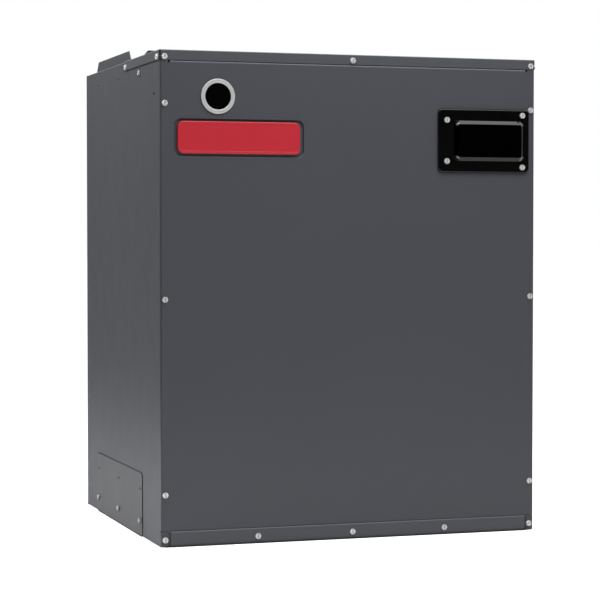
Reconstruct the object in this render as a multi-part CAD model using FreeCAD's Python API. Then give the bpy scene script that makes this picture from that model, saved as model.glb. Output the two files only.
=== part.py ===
import FreeCAD, Part
import math
import os
from FreeCAD import Placement, Rotation, Vector

# A modular blower: a sheet-steel cabinet, open below for return air and collared above for the
# supply duct, that holds a double-inlet centrifugal fan hung under a deck.
# Millimetres. Pieces are drawn with x from the cabinet's middle to its right side, y from the
# front panel's face to the back, and z up from the floor.

# Cabinet
CABINET_WIDTH = 622.3
CABINET_DEPTH = 533.4
CABINET_HEIGHT = 762.0
SHEET = 1.0
BEND = 1.3
FOLD = 3.0
CORNER_FOLD = 2.0
FIT = 0.3

# Side panels, folded in at every edge
SIDE_LIFT = 1.0
FRONT_RETURN = 12.0
CORNER_RELIEF = 3.6
FOOT_NOTCH = 2.2
REAR_RETURN = 15.0
FOOT_RETURN = 20.0
LEAD_HOLE_RADIUS = 3.2
LEAD_HOLE_DEPTH = 37.7
LEAD_HOLE_DROP = 65.5

# Duct collar round the supply opening
COLLAR_INSET = 12.0
COLLAR_RISE = 19.0
COLLAR_MITRE = 18.0
COLLAR_GAP = 2.0
COLLAR_REAR_SPACE = 32.0
COLLAR_SIDE_SPACE = 20.0

# Top cover and the header behind its skirt
TOP_DEPTH = 231.0
TOP_SKIRT = 15.8
TOP_CORNER_GAP = 3.0
HEADER_RETURN = 20.0

# Bottom rail
RAIL_HEIGHT = 25.3
RAIL_END_SPACE = 15.6
RAIL_RETURN = 24.0
RAIL_TAB = 12.0
STIFFENER_END_SPACE = 40.0
STIFFENER_RETURN = 18.0

# Front panel
PANEL_TOP_GAP = 0.4
PANEL_FOOT_GAP = 0.4
PANEL_EDGE_SPACE = 2.2
PANEL_RETURN = 14.0
PANEL_EAR = 16.0
PANEL_RELIEF_WIDTH = 3.0
PANEL_RELIEF_HEIGHT = 3.4
PANEL_FOOT_ROUND = 0.5

# Back panel
BACK_FOOT_RETURN = 28.0

# Tie plates and the holes that line up with them
TIE_HEIGHT = 101.6
TIE_END = 12.7
TIE_CORNER = 7.5
TIE_ROW_EDGE = 25.4
HOLE_FIRST = 130.6
HOLE_PITCH = 152.4
UPPER_ROW_DROP = 26.0
SPARE_HOLE_RADIUS = 2.2

# Hex washer-head screws
SCREW_RADIUS = 2.2
SCREW_LENGTH = 6.0
SCREW_HOLE_PLAY = 0.1
WASHER_RADIUS = 4.7
WASHER_THICKNESS = 0.9
HEX_FLATS = 8.0
HEX_HEIGHT = 2.3
HEX_CHAMFER = 0.45
SLOT_WIDTH = 1.5
SLOT_DEPTH = 1.3
DISH_RADIUS = 3.0
DISH_DEPTH = 0.5
EDGE_SCREW = 7.4
PANEL_SCREW_LOW = 55.3
PANEL_SCREW_HIGH = 65.4
TOP_SCREW_DROP = 10.7
TOP_MIDDLE_DROP = 9.4
LEG_SCREW_END = 9.5
RAIL_SCREW_HEIGHT = 11.8
BACK_SCREW_END = 60.0
BACK_SCREW_COUNT = 4

# Sight port in the front panel
PORT_LEFT = 91.5
PORT_DROP = 69.8
PORT_RING_RADIUS = 27.0
PORT_SIGHT_RADIUS = 20.5
PORT_LIP = 1.0
PORT_RING_RISE = 2.4
PORT_STEM_WALL = 1.8
PORT_STEM_LENGTH = 7.0
PORT_GLASS = 3.0
PORT_GROOVE = 0.5

# Badge in its pressed recess on the front panel
RECESS_LEFT = 22.6
RECESS_DROP = 133.6
RECESS_WIDTH = 207.6
RECESS_HEIGHT = 57.4
RECESS_CORNER = 11.0
RECESS_DEPTH = 2.6
RECESS_ROUND = 0.8
BADGE_LEFT_GAP = 5.0
BADGE_RIGHT_GAP = 6.5
BADGE_TOP_GAP = 3.3
BADGE_FOOT_GAP = 4.4
BADGE_CORNER = 7.0
BADGE_THICKNESS = 5.6
BADGE_ROUND = 1.0

# Breaker cover on the front panel
BREAKER_RIGHT = 11.6
BREAKER_DROP = 132.2
BREAKER_WIDTH = 156.0
BREAKER_HEIGHT = 100.2
BREAKER_CORNER = 6.5
BREAKER_THICKNESS = 4.5
BREAKER_WALL = 2.0
BREAKER_ROUND = 1.4
WINDOW_LEFT = 25.5
WINDOW_RIGHT = 9.1
WINDOW_EDGE = 18.1
WINDOW_CORNER = 9.0
WINDOW_RISE = 4.6
WINDOW_BEVEL = 5.5
WINDOW_SIDE_BEVEL = 5.0
WINDOW_ROUND = 1.0
BREAKER_LEFT_SCREW = 13.5
BREAKER_LEFT_SPREAD = 65.6
BREAKER_RIGHT_SCREW = 12.0
BREAKER_RIGHT_SPREAD = 83.2

# Foil-faced liners
LINER = 12.0
PANEL_LINER = 10.0
LINER_FOOT_GAP = 10.0

# Wheel
WHEEL_RADIUS = 140.0
WHEEL_WIDTH = 270.0
BLADE_COUNT = 44
BLADE_DEPTH = 21.0
BLADE_SHEET = 0.8
BLADE_SWEEP = 7.0
BLADE_BULGE = 4.5
RING_THICKNESS = 2.0
RING_LIP = 1.0
WHEEL_DISC = 1.5
HUB_RADIUS = 19.0
HUB_LENGTH = 44.0
HUB_FLANGE_RADIUS = 32.0
HUB_FLANGE = 3.0
SET_SCREW_RADIUS = 3.0
SET_SCREW_HEAD = 3.0

# Blower housing
HOUSING_SHEET = 1.2
HOUSING_SIDE_GAP = 30.0
CUTOFF_ANGLE = 75.0
CUTOFF_GAP = 12.0
PLATE_MARGIN = 10.0
PLATE_FLANGE = 16.0
INLET_RADIUS = 120.0
INLET_LIP = 14.0
FRONT_AIR = 17.0
REAR_AIR = 15.0
RETURN_SPACE = 50.0
OUTLET_RISE = 212.0

# Deck and its supports
DECK_SHEET = 1.2
DECK_LIP = 20.0
DECK_FRONT_GAP = 3.0
SUPPORT_LEG = 28.0
SUPPORT_SHEET = 1.2
DECK_SCREW_END = 26.0
GROMMET_HOLE_RADIUS = 9.0
GROMMET_LIP = 3.0
GROMMET_RISE = 2.5

# Motor
SHAFT_RADIUS = 6.35
SHAFT_RUNNING_GAP = 0.05
SHAFT_PRESS_GAP = 0.02
HUB_TO_MOTOR = 28.0
MOTOR_RADIUS = 70.0
MOTOR_WALL = 4.0
END_BELL = 12.0
MODULE_LENGTH = 38.0
BEARING_RADIUS = 16.0
BEARING_WIDTH = 11.0
BOSS_WALL = 6.0
STATOR_BORE = 38.0
AIR_GAP = 0.6
STATOR_END_SPACE = 22.0
SOCKET_WIDTH = 26.0
SOCKET_RISE = 12.0
SHAFT_END_LENGTH = 4.0

# Motor mount
BAND_SHEET = 1.8
BAND_WIDTH = 26.0
BAND_PLAY = 0.05
BAND_END = 5.0
BAND_SPLIT = 8.0
EAR_HEIGHT = 18.0
EAR_ANGLE = 30.0
ARM_THICKNESS = 3.0
ARM_WIDTH = 24.0
ARM_BOLT_RADIUS = 152.0
ARM_ANGLES = (90.0, 210.0, 330.0)
ISOLATOR_RADIUS = 9.0
ISOLATOR_LENGTH = 17.0
BOLT_RADIUS = 3.0
BOLT_PLAY = 0.2
BOLT_HEX_FLATS = 10.0
BOLT_HEX_HEIGHT = 4.0
BOLT_TAIL = 5.0

# Control pan with its wall, and the plate that closes the heater opening
WING_LAP = 18.0
PAN_FLANGE = 15.0
HEATER_WIDTH = 210.0
HEATER_MARGIN = 36.0
HEATER_RIGHT_SPACE = 26.0
HEATER_LAP = 13.0
HEATER_SCREW_EDGE = 7.0

# Control board and the pieces on the pan beside it
BOARD_WIDTH = 170.0
BOARD_HEIGHT = 140.0
BOARD_THICKNESS = 1.6
BOARD_LEFT_SPACE = 18.0
BOARD_STANDOFF = 12.0
BOARD_HOLE_EDGE = 7.0
STANDOFF_RADIUS = 3.5
STANDOFF_PIN = 1.9
STANDOFF_PLAY = 0.1
STANDOFF_CAP = 2.0
RELAY_WIDTH = 22.0
RELAY_HEIGHT = 28.0
RELAY_DEPTH = 17.0
RELAY_PITCH = 30.0
STRIP_WIDTH = 72.0
STRIP_HEIGHT = 12.0
STRIP_DEPTH = 13.0
STRIP_POLES = 8
STRIP_NOTCH = 6.0
PLUG_WIDTH = 24.0
PLUG_HEIGHT = 12.0
PLUG_DEPTH = 14.0
CORE_WIDTH = 62.0
CORE_HEIGHT = 52.0
CORE_STACK = 24.0
CORE_LEG = 10.0
CORE_GAP = 11.0
COIL_PLAY = 0.2
COIL_BULGE = 10.0
FRAME_SHEET = 1.5
TRANSFORMER_DROP = 40.0
BLOCK_WIDTH = 62.0
BLOCK_HEIGHT = 34.0
BLOCK_DEPTH = 22.0
BLOCK_POLES = 3
BLOCK_RIB = 3.0
BLOCK_STEP = 9.0
BLOCK_LIFT = 50.0

# Wire entry in the right side panel
ENTRY_DEPTH = 62.0
ENTRY_DROP = 122.0
ENTRY_BORE = 11.1
ENTRY_WALL = 2.6
ENTRY_LIP = 4.0
ENTRY_LIP_RISE = 3.0
ENTRY_TAIL = 8.0

# Motor harness
HARNESS_RADIUS = 3.5
HARNESS_WALL_SPACE = 40.0

# Places worked out from the sizes above
HALF_WIDTH = CABINET_WIDTH / 2
SIDE_FRONT = SHEET
SIDE_BACK = CABINET_DEPTH - SHEET
SIDE_TOP = CABINET_HEIGHT - SHEET
LEDGE_BOTTOM = SIDE_TOP - SHEET
PANEL_BOTTOM = RAIL_HEIGHT + PANEL_FOOT_GAP
PANEL_TOP = CABINET_HEIGHT - TOP_SKIRT - PANEL_TOP_GAP
SCREW_HOLE = SCREW_RADIUS + SCREW_HOLE_PLAY
SCREW_HEAD = WASHER_THICKNESS + HEX_HEIGHT
EDGE_SCREW_X = HALF_WIDTH - EDGE_SCREW
TOP_SCREW_Z = CABINET_HEIGHT - TOP_SCREW_DROP
TOP_MIDDLE_Z = CABINET_HEIGHT - TOP_MIDDLE_DROP
HOLE_ROW = [HOLE_FIRST + HOLE_PITCH * step for step in range(3)]
TIE_SCREW_Z = TIE_ROW_EDGE
TIE_SPARE_Z = TIE_HEIGHT - TIE_ROW_EDGE
UPPER_ROW_Z = CABINET_HEIGHT - UPPER_ROW_DROP
FRONT_REACH = BREAKER_THICKNESS + WINDOW_RISE
BACK_REACH = SCREW_HEAD
FRAME_SHIFT = Vector(0, (FRONT_REACH - CABINET_DEPTH - BACK_REACH) / 2, 0)

SCROLL_WIDTH = WHEEL_WIDTH + 2 * HOUSING_SIDE_GAP
HALF_SCROLL = SCROLL_WIDTH / 2
PLATE_FACE = HALF_SCROLL + HOUSING_SHEET
SCROLL_FRONT = SHEET + PANEL_LINER + FRONT_AIR + PLATE_MARGIN + HOUSING_SHEET
SCROLL_REAR = SIDE_BACK - LINER - REAR_AIR - PLATE_MARGIN - HOUSING_SHEET
SCROLL_START = WHEEL_RADIUS + CUTOFF_GAP
FRONT_SHARE = (180 - CUTOFF_ANGLE) / (360 - CUTOFF_ANGLE)
SCROLL_SPACE = SCROLL_REAR - SCROLL_FRONT
SCROLL_END = (SCROLL_SPACE - SCROLL_START * (1 - FRONT_SHARE)) / (1 + FRONT_SHARE)


def scroll_radius(angle):
    """Radius of the scroll's inner face, growing steadily from the cutoff to the outlet."""
    share = (angle - CUTOFF_ANGLE) / (360 - CUTOFF_ANGLE)
    return SCROLL_START + (SCROLL_END - SCROLL_START) * share


AXIS_Y = SCROLL_REAR - SCROLL_END
AXIS_Z = RETURN_SPACE + PLATE_MARGIN + HOUSING_SHEET + scroll_radius(270)
CUTOFF_Y = AXIS_Y + SCROLL_START * math.cos(math.radians(CUTOFF_ANGLE))
CUTOFF_Z = AXIS_Z + SCROLL_START * math.sin(math.radians(CUTOFF_ANGLE))
DECK_BOTTOM = AXIS_Z + OUTLET_RISE
DECK_TOP = DECK_BOTTOM + DECK_SHEET
DECK_FRONT = SHEET + PANEL_LINER + DECK_FRONT_GAP
DECK_REAR = SIDE_BACK - SHEET - FIT
DECK_SCREW_IN = SHEET + LINER + WASHER_RADIUS + SHEET
DECK_SCREW_ROW = (DECK_FRONT + DECK_SCREW_END, CABINET_DEPTH / 2, DECK_REAR - LINER - DECK_SCREW_END)
FLANGE_FRONT = CUTOFF_Y - PLATE_FLANGE
HOUSING_SCREW_X = PLATE_FACE + PLATE_FLANGE / 2
HOUSING_SCREW_ROW = (FLANGE_FRONT + WASHER_RADIUS + SHEET, SCROLL_REAR - WASHER_RADIUS - SHEET)

BLADE_INNER = WHEEL_RADIUS - BLADE_DEPTH
HALF_BLADE = WHEEL_WIDTH / 2 - RING_THICKNESS
MOTOR_FACE = HUB_LENGTH / 2 + HUB_TO_MOTOR
SHELL_START = MOTOR_FACE + END_BELL
ARM_START = PLATE_FACE + ISOLATOR_LENGTH
BAND_START = ARM_START + ARM_THICKNESS / 2 - BAND_WIDTH / 2
SHELL_END = BAND_START + BAND_WIDTH + BAND_END
MODULE_END = SHELL_END + MODULE_LENGTH
MODULE_MIDDLE = SHELL_END + MODULE_LENGTH / 2
BAND_OUTER = MOTOR_RADIUS + BAND_PLAY + BAND_SHEET

WALL_Y = TOP_DEPTH - 2 * SHEET
WING_FRONT = HOLE_FIRST - WING_LAP
PAN_MIDDLE = (DECK_TOP + LEDGE_BOTTOM) / 2
HEATER_HIGH = HALF_WIDTH - HEATER_RIGHT_SPACE
HEATER_LOW = HEATER_HIGH - HEATER_WIDTH
HEATER_BOTTOM = DECK_TOP + HEATER_MARGIN
HEATER_TOP = LEDGE_BOTTOM - HEATER_MARGIN
BOARD_LOW = BOARD_LEFT_SPACE - HALF_WIDTH
BOARD_HIGH = BOARD_LOW + BOARD_WIDTH
BOARD_BACK = WALL_Y - BOARD_STANDOFF
BOARD_FACE = BOARD_BACK - BOARD_THICKNESS
BOARD_BOTTOM = PAN_MIDDLE - BOARD_HEIGHT / 2
BOARD_TOP = BOARD_BOTTOM + BOARD_HEIGHT
BAY_X = (BOARD_HIGH + HEATER_LOW - HEATER_LAP) / 2
HARNESS_Y = WALL_Y - HARNESS_WALL_SPACE
HARNESS_X = -MODULE_MIDDLE
SOCKET_TOP = AXIS_Z + MOTOR_RADIUS + SOCKET_RISE

X_AXIS = Vector(1, 0, 0)
Y_AXIS = Vector(0, 1, 0)
Z_AXIS = Vector(0, 0, 1)
FRONTWARD = Vector(0, -1, 0)
LEFT = -1
RIGHT = 1

os.makedirs("parts", exist_ok=True)


def export(name, *shapes):
    """Write one named piece, moved so that the origin is under the cabinet's middle."""
    piece = shapes[0] if len(shapes) == 1 else Part.makeCompound(list(shapes))
    piece = piece.copy()
    piece.translate(FRAME_SHIFT)
    piece.exportStep(f"parts/{name}.step")


def block(x_ends, y_ends, z_ends):
    """Box between two ends on each axis, in either order."""
    low = Vector(min(x_ends), min(y_ends), min(z_ends))
    high = Vector(max(x_ends), max(y_ends), max(z_ends))
    size = high - low
    return Part.makeBox(size.x, size.y, size.z, low)


def side_block(side, inward, y_ends, z_ends):
    """Box measured inwards from the outer face of one side panel."""
    x_ends = [side * (HALF_WIDTH - distance) for distance in inward]
    return block(x_ends, y_ends, z_ends)


def rod(point, direction, radius, length):
    """Round bar from a point along a direction."""
    return Part.makeCylinder(radius, length, point, direction)


def tube(point, direction, inner, outer, length):
    """Round tube from a point along a direction."""
    return rod(point, direction, outer, length).cut(rod(point, direction, inner, length))


def joined(shapes):
    """One clean solid from overlapping or touching shapes."""
    return shapes[0].multiFuse(shapes[1:]).removeSplitter()


def prism(points, travel):
    """Flat outline pushed along a vector."""
    return Part.Face(Part.makePolygon(points + points[:1])).extrude(travel)


def rounded(shape, radius, chosen):
    """Fillet every edge whose middle satisfies a test."""
    return shape.makeFillet(radius, [edge for edge in shape.Edges if chosen(edge.CenterOfMass)])


def near(value, target):
    """True when two coordinates agree."""
    return abs(value - target) < 1e-6


def front_outline(x_ends, z_ends, corner, y):
    """Rounded rectangle in a plane that faces the front, as a wire."""
    sheet = block(x_ends, (y, y + 1), z_ends)
    uprights = [edge for edge in sheet.Edges if near(edge.Length, 1)]
    faces = sheet.makeFillet(corner, uprights).Faces
    return min(faces, key=lambda face: face.CenterOfMass.y).OuterWire


def front_plate(x_ends, y_ends, z_ends, corner):
    """Plate with rounded corners that faces the front."""
    outline = front_outline(x_ends, z_ends, corner, y_ends[0])
    return Part.Face(outline).extrude(Y_AXIS * (y_ends[1] - y_ends[0]))


def hex_head(flats, height, chamfer):
    """Hexagonal head standing on z = 0, its upper edges chamfered."""
    reach = flats / math.sqrt(3)
    turns = [math.radians(60 * step) for step in range(6)]
    corners = [Vector(reach * math.cos(turn), reach * math.sin(turn), 0) for turn in turns]
    head = prism(corners, Z_AXIS * height)
    top = [edge for edge in head.Edges if all(near(end.Point.z, height) for end in edge.Vertexes)]
    return head.makeChamfer(chamfer, top)


def washer_screw():
    """Slotted hex washer-head screw: its seat is z = 0, its head is up and its slot runs along y."""
    head = hex_head(HEX_FLATS, HEX_HEIGHT, HEX_CHAMFER)
    head.translate(Z_AXIS * WASHER_THICKNESS)
    washer = rod(Vector(), Z_AXIS, WASHER_RADIUS, WASHER_THICKNESS)
    shank = rod(Z_AXIS * -SCREW_LENGTH, Z_AXIS, SCREW_RADIUS, SCREW_LENGTH)
    slot_bottom = SCREW_HEAD - SLOT_DEPTH
    slot_x = (-SLOT_WIDTH / 2, SLOT_WIDTH / 2)
    slot = block(slot_x, (-WASHER_RADIUS, WASHER_RADIUS), (slot_bottom, SCREW_HEAD))
    dish_bottom = Z_AXIS * (SCREW_HEAD - DISH_DEPTH)
    dish = Part.makeCone(DISH_RADIUS - DISH_DEPTH, DISH_RADIUS, DISH_DEPTH, dish_bottom, Z_AXIS)
    return joined([head, washer, shank]).cut(dish).cut(slot)


def placed(shape, point, outward, turn=0.0):
    """Copy of an upright shape, spun on its axis and then set on a face."""
    copy = shape.copy()
    aim = Rotation(Z_AXIS, outward).multiply(Rotation(Z_AXIS, turn))
    copy.Placement = Placement(point, aim)
    return copy


def drilled(shape, points, direction, radius):
    """Shape with a hole through every face near each point along a direction."""
    reach = SHEET * 8
    holes = [rod(point - direction * reach, direction, radius, 2 * reach) for point in points]
    return shape.cut(Part.makeCompound(holes)) if holes else shape


# Screw places shared by the panels and the screws themselves
PANEL_SCREW_LEVELS = (
    PANEL_BOTTOM + PANEL_SCREW_LOW,
    (PANEL_BOTTOM + PANEL_SCREW_LOW + PANEL_TOP - PANEL_SCREW_HIGH) / 2,
    PANEL_TOP - PANEL_SCREW_HIGH,
)
BACK_SCREW_STEP = (SIDE_TOP - 2 * BACK_SCREW_END) / (BACK_SCREW_COUNT - 1)
BACK_SCREW_LEVELS = [BACK_SCREW_END + BACK_SCREW_STEP * step for step in range(BACK_SCREW_COUNT)]
RAIL_SCREW_SPOTS = [Vector(x, 0, RAIL_SCREW_HEIGHT) for x in (-HALF_WIDTH / 2, 0, HALF_WIDTH / 2)]
LEG_SCREW_ROW = (LEG_SCREW_END, TOP_DEPTH - LEG_SCREW_END)
SKIRT_MIDDLE = Vector(0, 0, TOP_MIDDLE_Z)
SKIRT_SCREW_SPOTS = [Vector(x, 0, TOP_SCREW_Z) for x in (-EDGE_SCREW_X, EDGE_SCREW_X)] + [SKIRT_MIDDLE]


def panel_screw_spots(side):
    """Front panel screws along one side."""
    return [Vector(side * EDGE_SCREW_X, 0, level) for level in PANEL_SCREW_LEVELS]


def corner_spot(side, height):
    """Place of a front screw near one side edge."""
    return Vector(side * EDGE_SCREW_X, 0, height)


def back_screw_spots(side):
    """Back panel screws along one side."""
    return [Vector(side * EDGE_SCREW_X, CABINET_DEPTH, level) for level in BACK_SCREW_LEVELS]


def side_spots(side, depths, height):
    """Row of places on the outer face of one side panel."""
    return [Vector(side * HALF_WIDTH, depth, height) for depth in depths]


# Cabinet shell

def collar_strip(start, end, base, rise, along, thickness):
    """Upright duct flange with mitred ends, drawn from base corner to base corner."""
    inset = along * COLLAR_MITRE
    outline = [start, end, end - inset + Z_AXIS * rise, start + inset + Z_AXIS * rise]
    return prism([point + Z_AXIS * base for point in outline], thickness)


def side_panel(side):
    """Side panel: one sheet with front, rear and foot returns, a top ledge and a duct flange."""
    height = (SIDE_LIFT, SIDE_TOP)
    depth = (SIDE_FRONT, SIDE_BACK)
    walls = [
        side_block(side, (0, SHEET), depth, height),
        side_block(side, (0, FRONT_RETURN), (SIDE_FRONT, SIDE_FRONT + SHEET), height),
        side_block(side, (0, REAR_RETURN), (SIDE_BACK - SHEET, SIDE_BACK), height),
        side_block(side, (0, FOOT_RETURN), depth, (SIDE_LIFT, SIDE_LIFT + SHEET)),
        side_block(side, (0, COLLAR_INSET), depth, (LEDGE_BOTTOM, SIDE_TOP)),
    ]
    face = side * HALF_WIDTH
    inner_face = side * (HALF_WIDTH - SHEET)

    def front_fold(middle):
        return near(middle.x, face) and near(middle.y, SIDE_FRONT)

    def front_fold_inside(middle):
        return near(middle.x, inner_face) and near(middle.y, SIDE_FRONT + SHEET)

    panel = rounded(joined(walls), CORNER_FOLD, front_fold)
    panel = rounded(panel, CORNER_FOLD - SHEET, front_fold_inside)
    panel = rounded(panel, BEND, lambda middle: near(middle.x, face))
    relief_x = (-SHEET, CORNER_RELIEF)
    relief_y = (0, SIDE_FRONT + CORNER_RELIEF)
    relief_z = (CABINET_HEIGHT - TOP_SKIRT, CABINET_HEIGHT)
    panel = panel.cut(side_block(side, relief_x, relief_y, relief_z))
    notch_x = (-SHEET, FOOT_NOTCH)
    notch_y = (0, SIDE_FRONT + FOOT_NOTCH)
    notch_z = (PANEL_BOTTOM - FOOT_NOTCH, PANEL_BOTTOM)
    panel = panel.cut(side_block(side, notch_x, notch_y, notch_z))
    collar_x = side * (HALF_WIDTH - COLLAR_INSET)
    start = Vector(collar_x, TOP_DEPTH + COLLAR_GAP, 0)
    end = Vector(collar_x, CABINET_DEPTH - COLLAR_REAR_SPACE, 0)
    rise = SHEET + SHEET + COLLAR_RISE
    panel = joined([panel, collar_strip(start, end, LEDGE_BOTTOM, rise, Y_AXIS, X_AXIS * side * SHEET)])
    front = panel_screw_spots(side) + [corner_spot(side, TOP_SCREW_Z), corner_spot(side, RAIL_SCREW_HEIGHT)]
    panel = drilled(panel, front + back_screw_spots(side), Y_AXIS, SCREW_HOLE)
    screwed = side_spots(side, LEG_SCREW_ROW, TOP_SCREW_Z) + side_spots(side, HOLE_ROW[:1], UPPER_ROW_Z)
    screwed += side_spots(side, HOLE_ROW, TIE_SCREW_Z)
    panel = drilled(panel, screwed, X_AXIS, SCREW_HOLE)
    spare = side_spots(side, HOLE_ROW[1:], UPPER_ROW_Z) + side_spots(side, HOLE_ROW, TIE_SPARE_Z)
    panel = drilled(panel, spare, X_AXIS, SPARE_HOLE_RADIUS)
    if side == RIGHT:
        return drilled(panel, [entry_spot()], X_AXIS, ENTRY_BORE + ENTRY_WALL)
    lead = side_spots(side, (LEAD_HOLE_DEPTH,), CABINET_HEIGHT - LEAD_HOLE_DROP)
    return drilled(panel, lead, X_AXIS, LEAD_HOLE_RADIUS)


def back_panel():
    """Back panel: a sheet over the rear returns, with a foot return, a ledge and a duct flange."""
    inner_half = HALF_WIDTH - max(REAR_RETURN, FOOT_RETURN, COLLAR_INSET) - FIT
    inner = (-inner_half, inner_half)
    ledge_front = CABINET_DEPTH - COLLAR_INSET
    walls = [
        block((-HALF_WIDTH, HALF_WIDTH), (SIDE_BACK, CABINET_DEPTH), (0, SIDE_TOP)),
        block(inner, (CABINET_DEPTH - BACK_FOOT_RETURN, CABINET_DEPTH), (0, SHEET)),
        block(inner, (ledge_front, CABINET_DEPTH), (LEDGE_BOTTOM, SIDE_TOP)),
    ]
    panel = joined(walls)
    start = Vector(COLLAR_SIDE_SPACE - HALF_WIDTH, ledge_front, 0)
    end = Vector(HALF_WIDTH - COLLAR_SIDE_SPACE, ledge_front, 0)
    collar = collar_strip(start, end, SIDE_TOP, SHEET + COLLAR_RISE, X_AXIS, Y_AXIS * SHEET)
    step = block((-inner_half, inner_half), (ledge_front, ledge_front + SHEET), (LEDGE_BOTTOM, SIDE_TOP))
    panel = joined([panel, collar, step])
    return drilled(panel, back_screw_spots(LEFT) + back_screw_spots(RIGHT), Y_AXIS, SCREW_HOLE)


def top_cover():
    """Top cover: a plate with a front skirt, two side legs and the duct collar's front flange."""
    outer = HALF_WIDTH + SHEET
    skirt = (CABINET_HEIGHT - TOP_SKIRT, CABINET_HEIGHT)
    walls = [
        block((-outer, outer), (0, TOP_DEPTH), (SIDE_TOP, CABINET_HEIGHT)),
        block((-HALF_WIDTH, HALF_WIDTH), (0, SHEET), skirt),
        block((-outer, -HALF_WIDTH), (0, TOP_DEPTH), skirt),
        block((HALF_WIDTH, outer), (0, TOP_DEPTH), skirt),
    ]

    def folded(middle):
        return near(middle.z, CABINET_HEIGHT) and not near(middle.y, TOP_DEPTH)

    cover = rounded(joined(walls), BEND, folded)
    notch_ends = (HALF_WIDTH - TOP_CORNER_GAP / 2, outer + SHEET)
    for side in (LEFT, RIGHT):
        x_ends = [side * end for end in notch_ends]
        cover = cover.cut(block(x_ends, (-SHEET, SHEET + TOP_CORNER_GAP / 2), (0, CABINET_HEIGHT + SHEET)))
    start = Vector(COLLAR_SIDE_SPACE - HALF_WIDTH, TOP_DEPTH - SHEET, 0)
    end = Vector(HALF_WIDTH - COLLAR_SIDE_SPACE, TOP_DEPTH - SHEET, 0)
    collar = collar_strip(start, end, SIDE_TOP, SHEET + COLLAR_RISE, X_AXIS, Y_AXIS * SHEET)
    cover = joined([cover, collar])
    cover = drilled(cover, SKIRT_SCREW_SPOTS, Y_AXIS, SCREW_HOLE)
    legs = side_spots(LEFT, LEG_SCREW_ROW, TOP_SCREW_Z) + side_spots(RIGHT, LEG_SCREW_ROW, TOP_SCREW_Z)
    return drilled(cover, legs, X_AXIS, SCREW_HOLE)


def top_header():
    """Angle between the front returns that takes the skirt's middle screw."""
    half = HALF_WIDTH - FRONT_RETURN - FIT
    front = block((-half, half), (SHEET, 2 * SHEET), (CABINET_HEIGHT - TOP_SKIRT, SIDE_TOP))
    shelf = block((-half, half), (SHEET, HEADER_RETURN), (LEDGE_BOTTOM, SIDE_TOP))
    return drilled(joined([front, shelf]), [SKIRT_MIDDLE], Y_AXIS, SCREW_HOLE)


def bottom_rail():
    """Front rail: a channel between the side panels, with a stepped-back tab at each end."""
    half = HALF_WIDTH - RAIL_END_SPACE
    walls = [
        block((-half, half), (0, SHEET), (0, RAIL_HEIGHT)),
        block((-half, half), (0, RAIL_RETURN), (RAIL_HEIGHT - SHEET, RAIL_HEIGHT)),
        block((-half, half), (0, RAIL_RETURN), (0, SHEET)),
    ]
    front_edges = (
        (CORNER_FOLD, 0, 0),
        (FOLD, 0, RAIL_HEIGHT),
        (FOLD - SHEET, SHEET, RAIL_HEIGHT - SHEET),
    )
    rail = joined(walls)
    for radius, depth, height in front_edges:
        rail = rounded(rail, radius, lambda middle: near(middle.y, depth) and near(middle.z, height))
    step_z = (SIDE_LIFT + 2 * SHEET, RAIL_HEIGHT - SHEET)
    tab_z = (SIDE_LIFT + 2 * SHEET, RAIL_HEIGHT - FIT)
    tabs = []
    for side in (LEFT, RIGHT):
        step_x = (side * half, side * (half - SHEET))
        tab_x = (side * (half - SHEET), side * (half + RAIL_TAB))
        tabs.append(block(step_x, (SHEET, 3 * SHEET), step_z))
        tabs.append(block(tab_x, (2 * SHEET, 3 * SHEET), tab_z))
    rail = joined([rail] + tabs)
    spots = RAIL_SCREW_SPOTS + [corner_spot(side, RAIL_SCREW_HEIGHT) for side in (LEFT, RIGHT)]
    return drilled(rail, spots, Y_AXIS, SCREW_HOLE)


def rail_stiffener():
    """Angle behind the rail that takes the rail's middle screws."""
    half = HALF_WIDTH - STIFFENER_END_SPACE
    upright = block((-half, half), (SHEET, 2 * SHEET), (SHEET, RAIL_HEIGHT - FOLD - SHEET))
    foot = block((-half, half), (SHEET, STIFFENER_RETURN), (SHEET, 2 * SHEET))
    return drilled(joined([upright, foot]), RAIL_SCREW_SPOTS, Y_AXIS, SCREW_HOLE)


def tie_plate(side):
    """Flat plate on one side panel that ties the blower to the cabinet it stands on."""
    y_ends = (HOLE_ROW[0] - TIE_END, HOLE_ROW[2] + TIE_END)
    plate = side_block(side, (-SHEET, 0), y_ends, (0, TIE_HEIGHT))
    corners = [edge for edge in plate.Edges if near(edge.Length, SHEET)]
    plate = plate.makeFillet(TIE_CORNER, corners)
    plate = drilled(plate, side_spots(side, HOLE_ROW, TIE_SCREW_Z), X_AXIS, SCREW_HOLE)
    return drilled(plate, side_spots(side, HOLE_ROW, TIE_SPARE_Z), X_AXIS, SPARE_HOLE_RADIUS)


# Front panel and what is fixed to it

def port_spot(y=0.0):
    """Middle of the sight port."""
    return Vector(PORT_LEFT - HALF_WIDTH, y, CABINET_HEIGHT - PORT_DROP)


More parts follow.
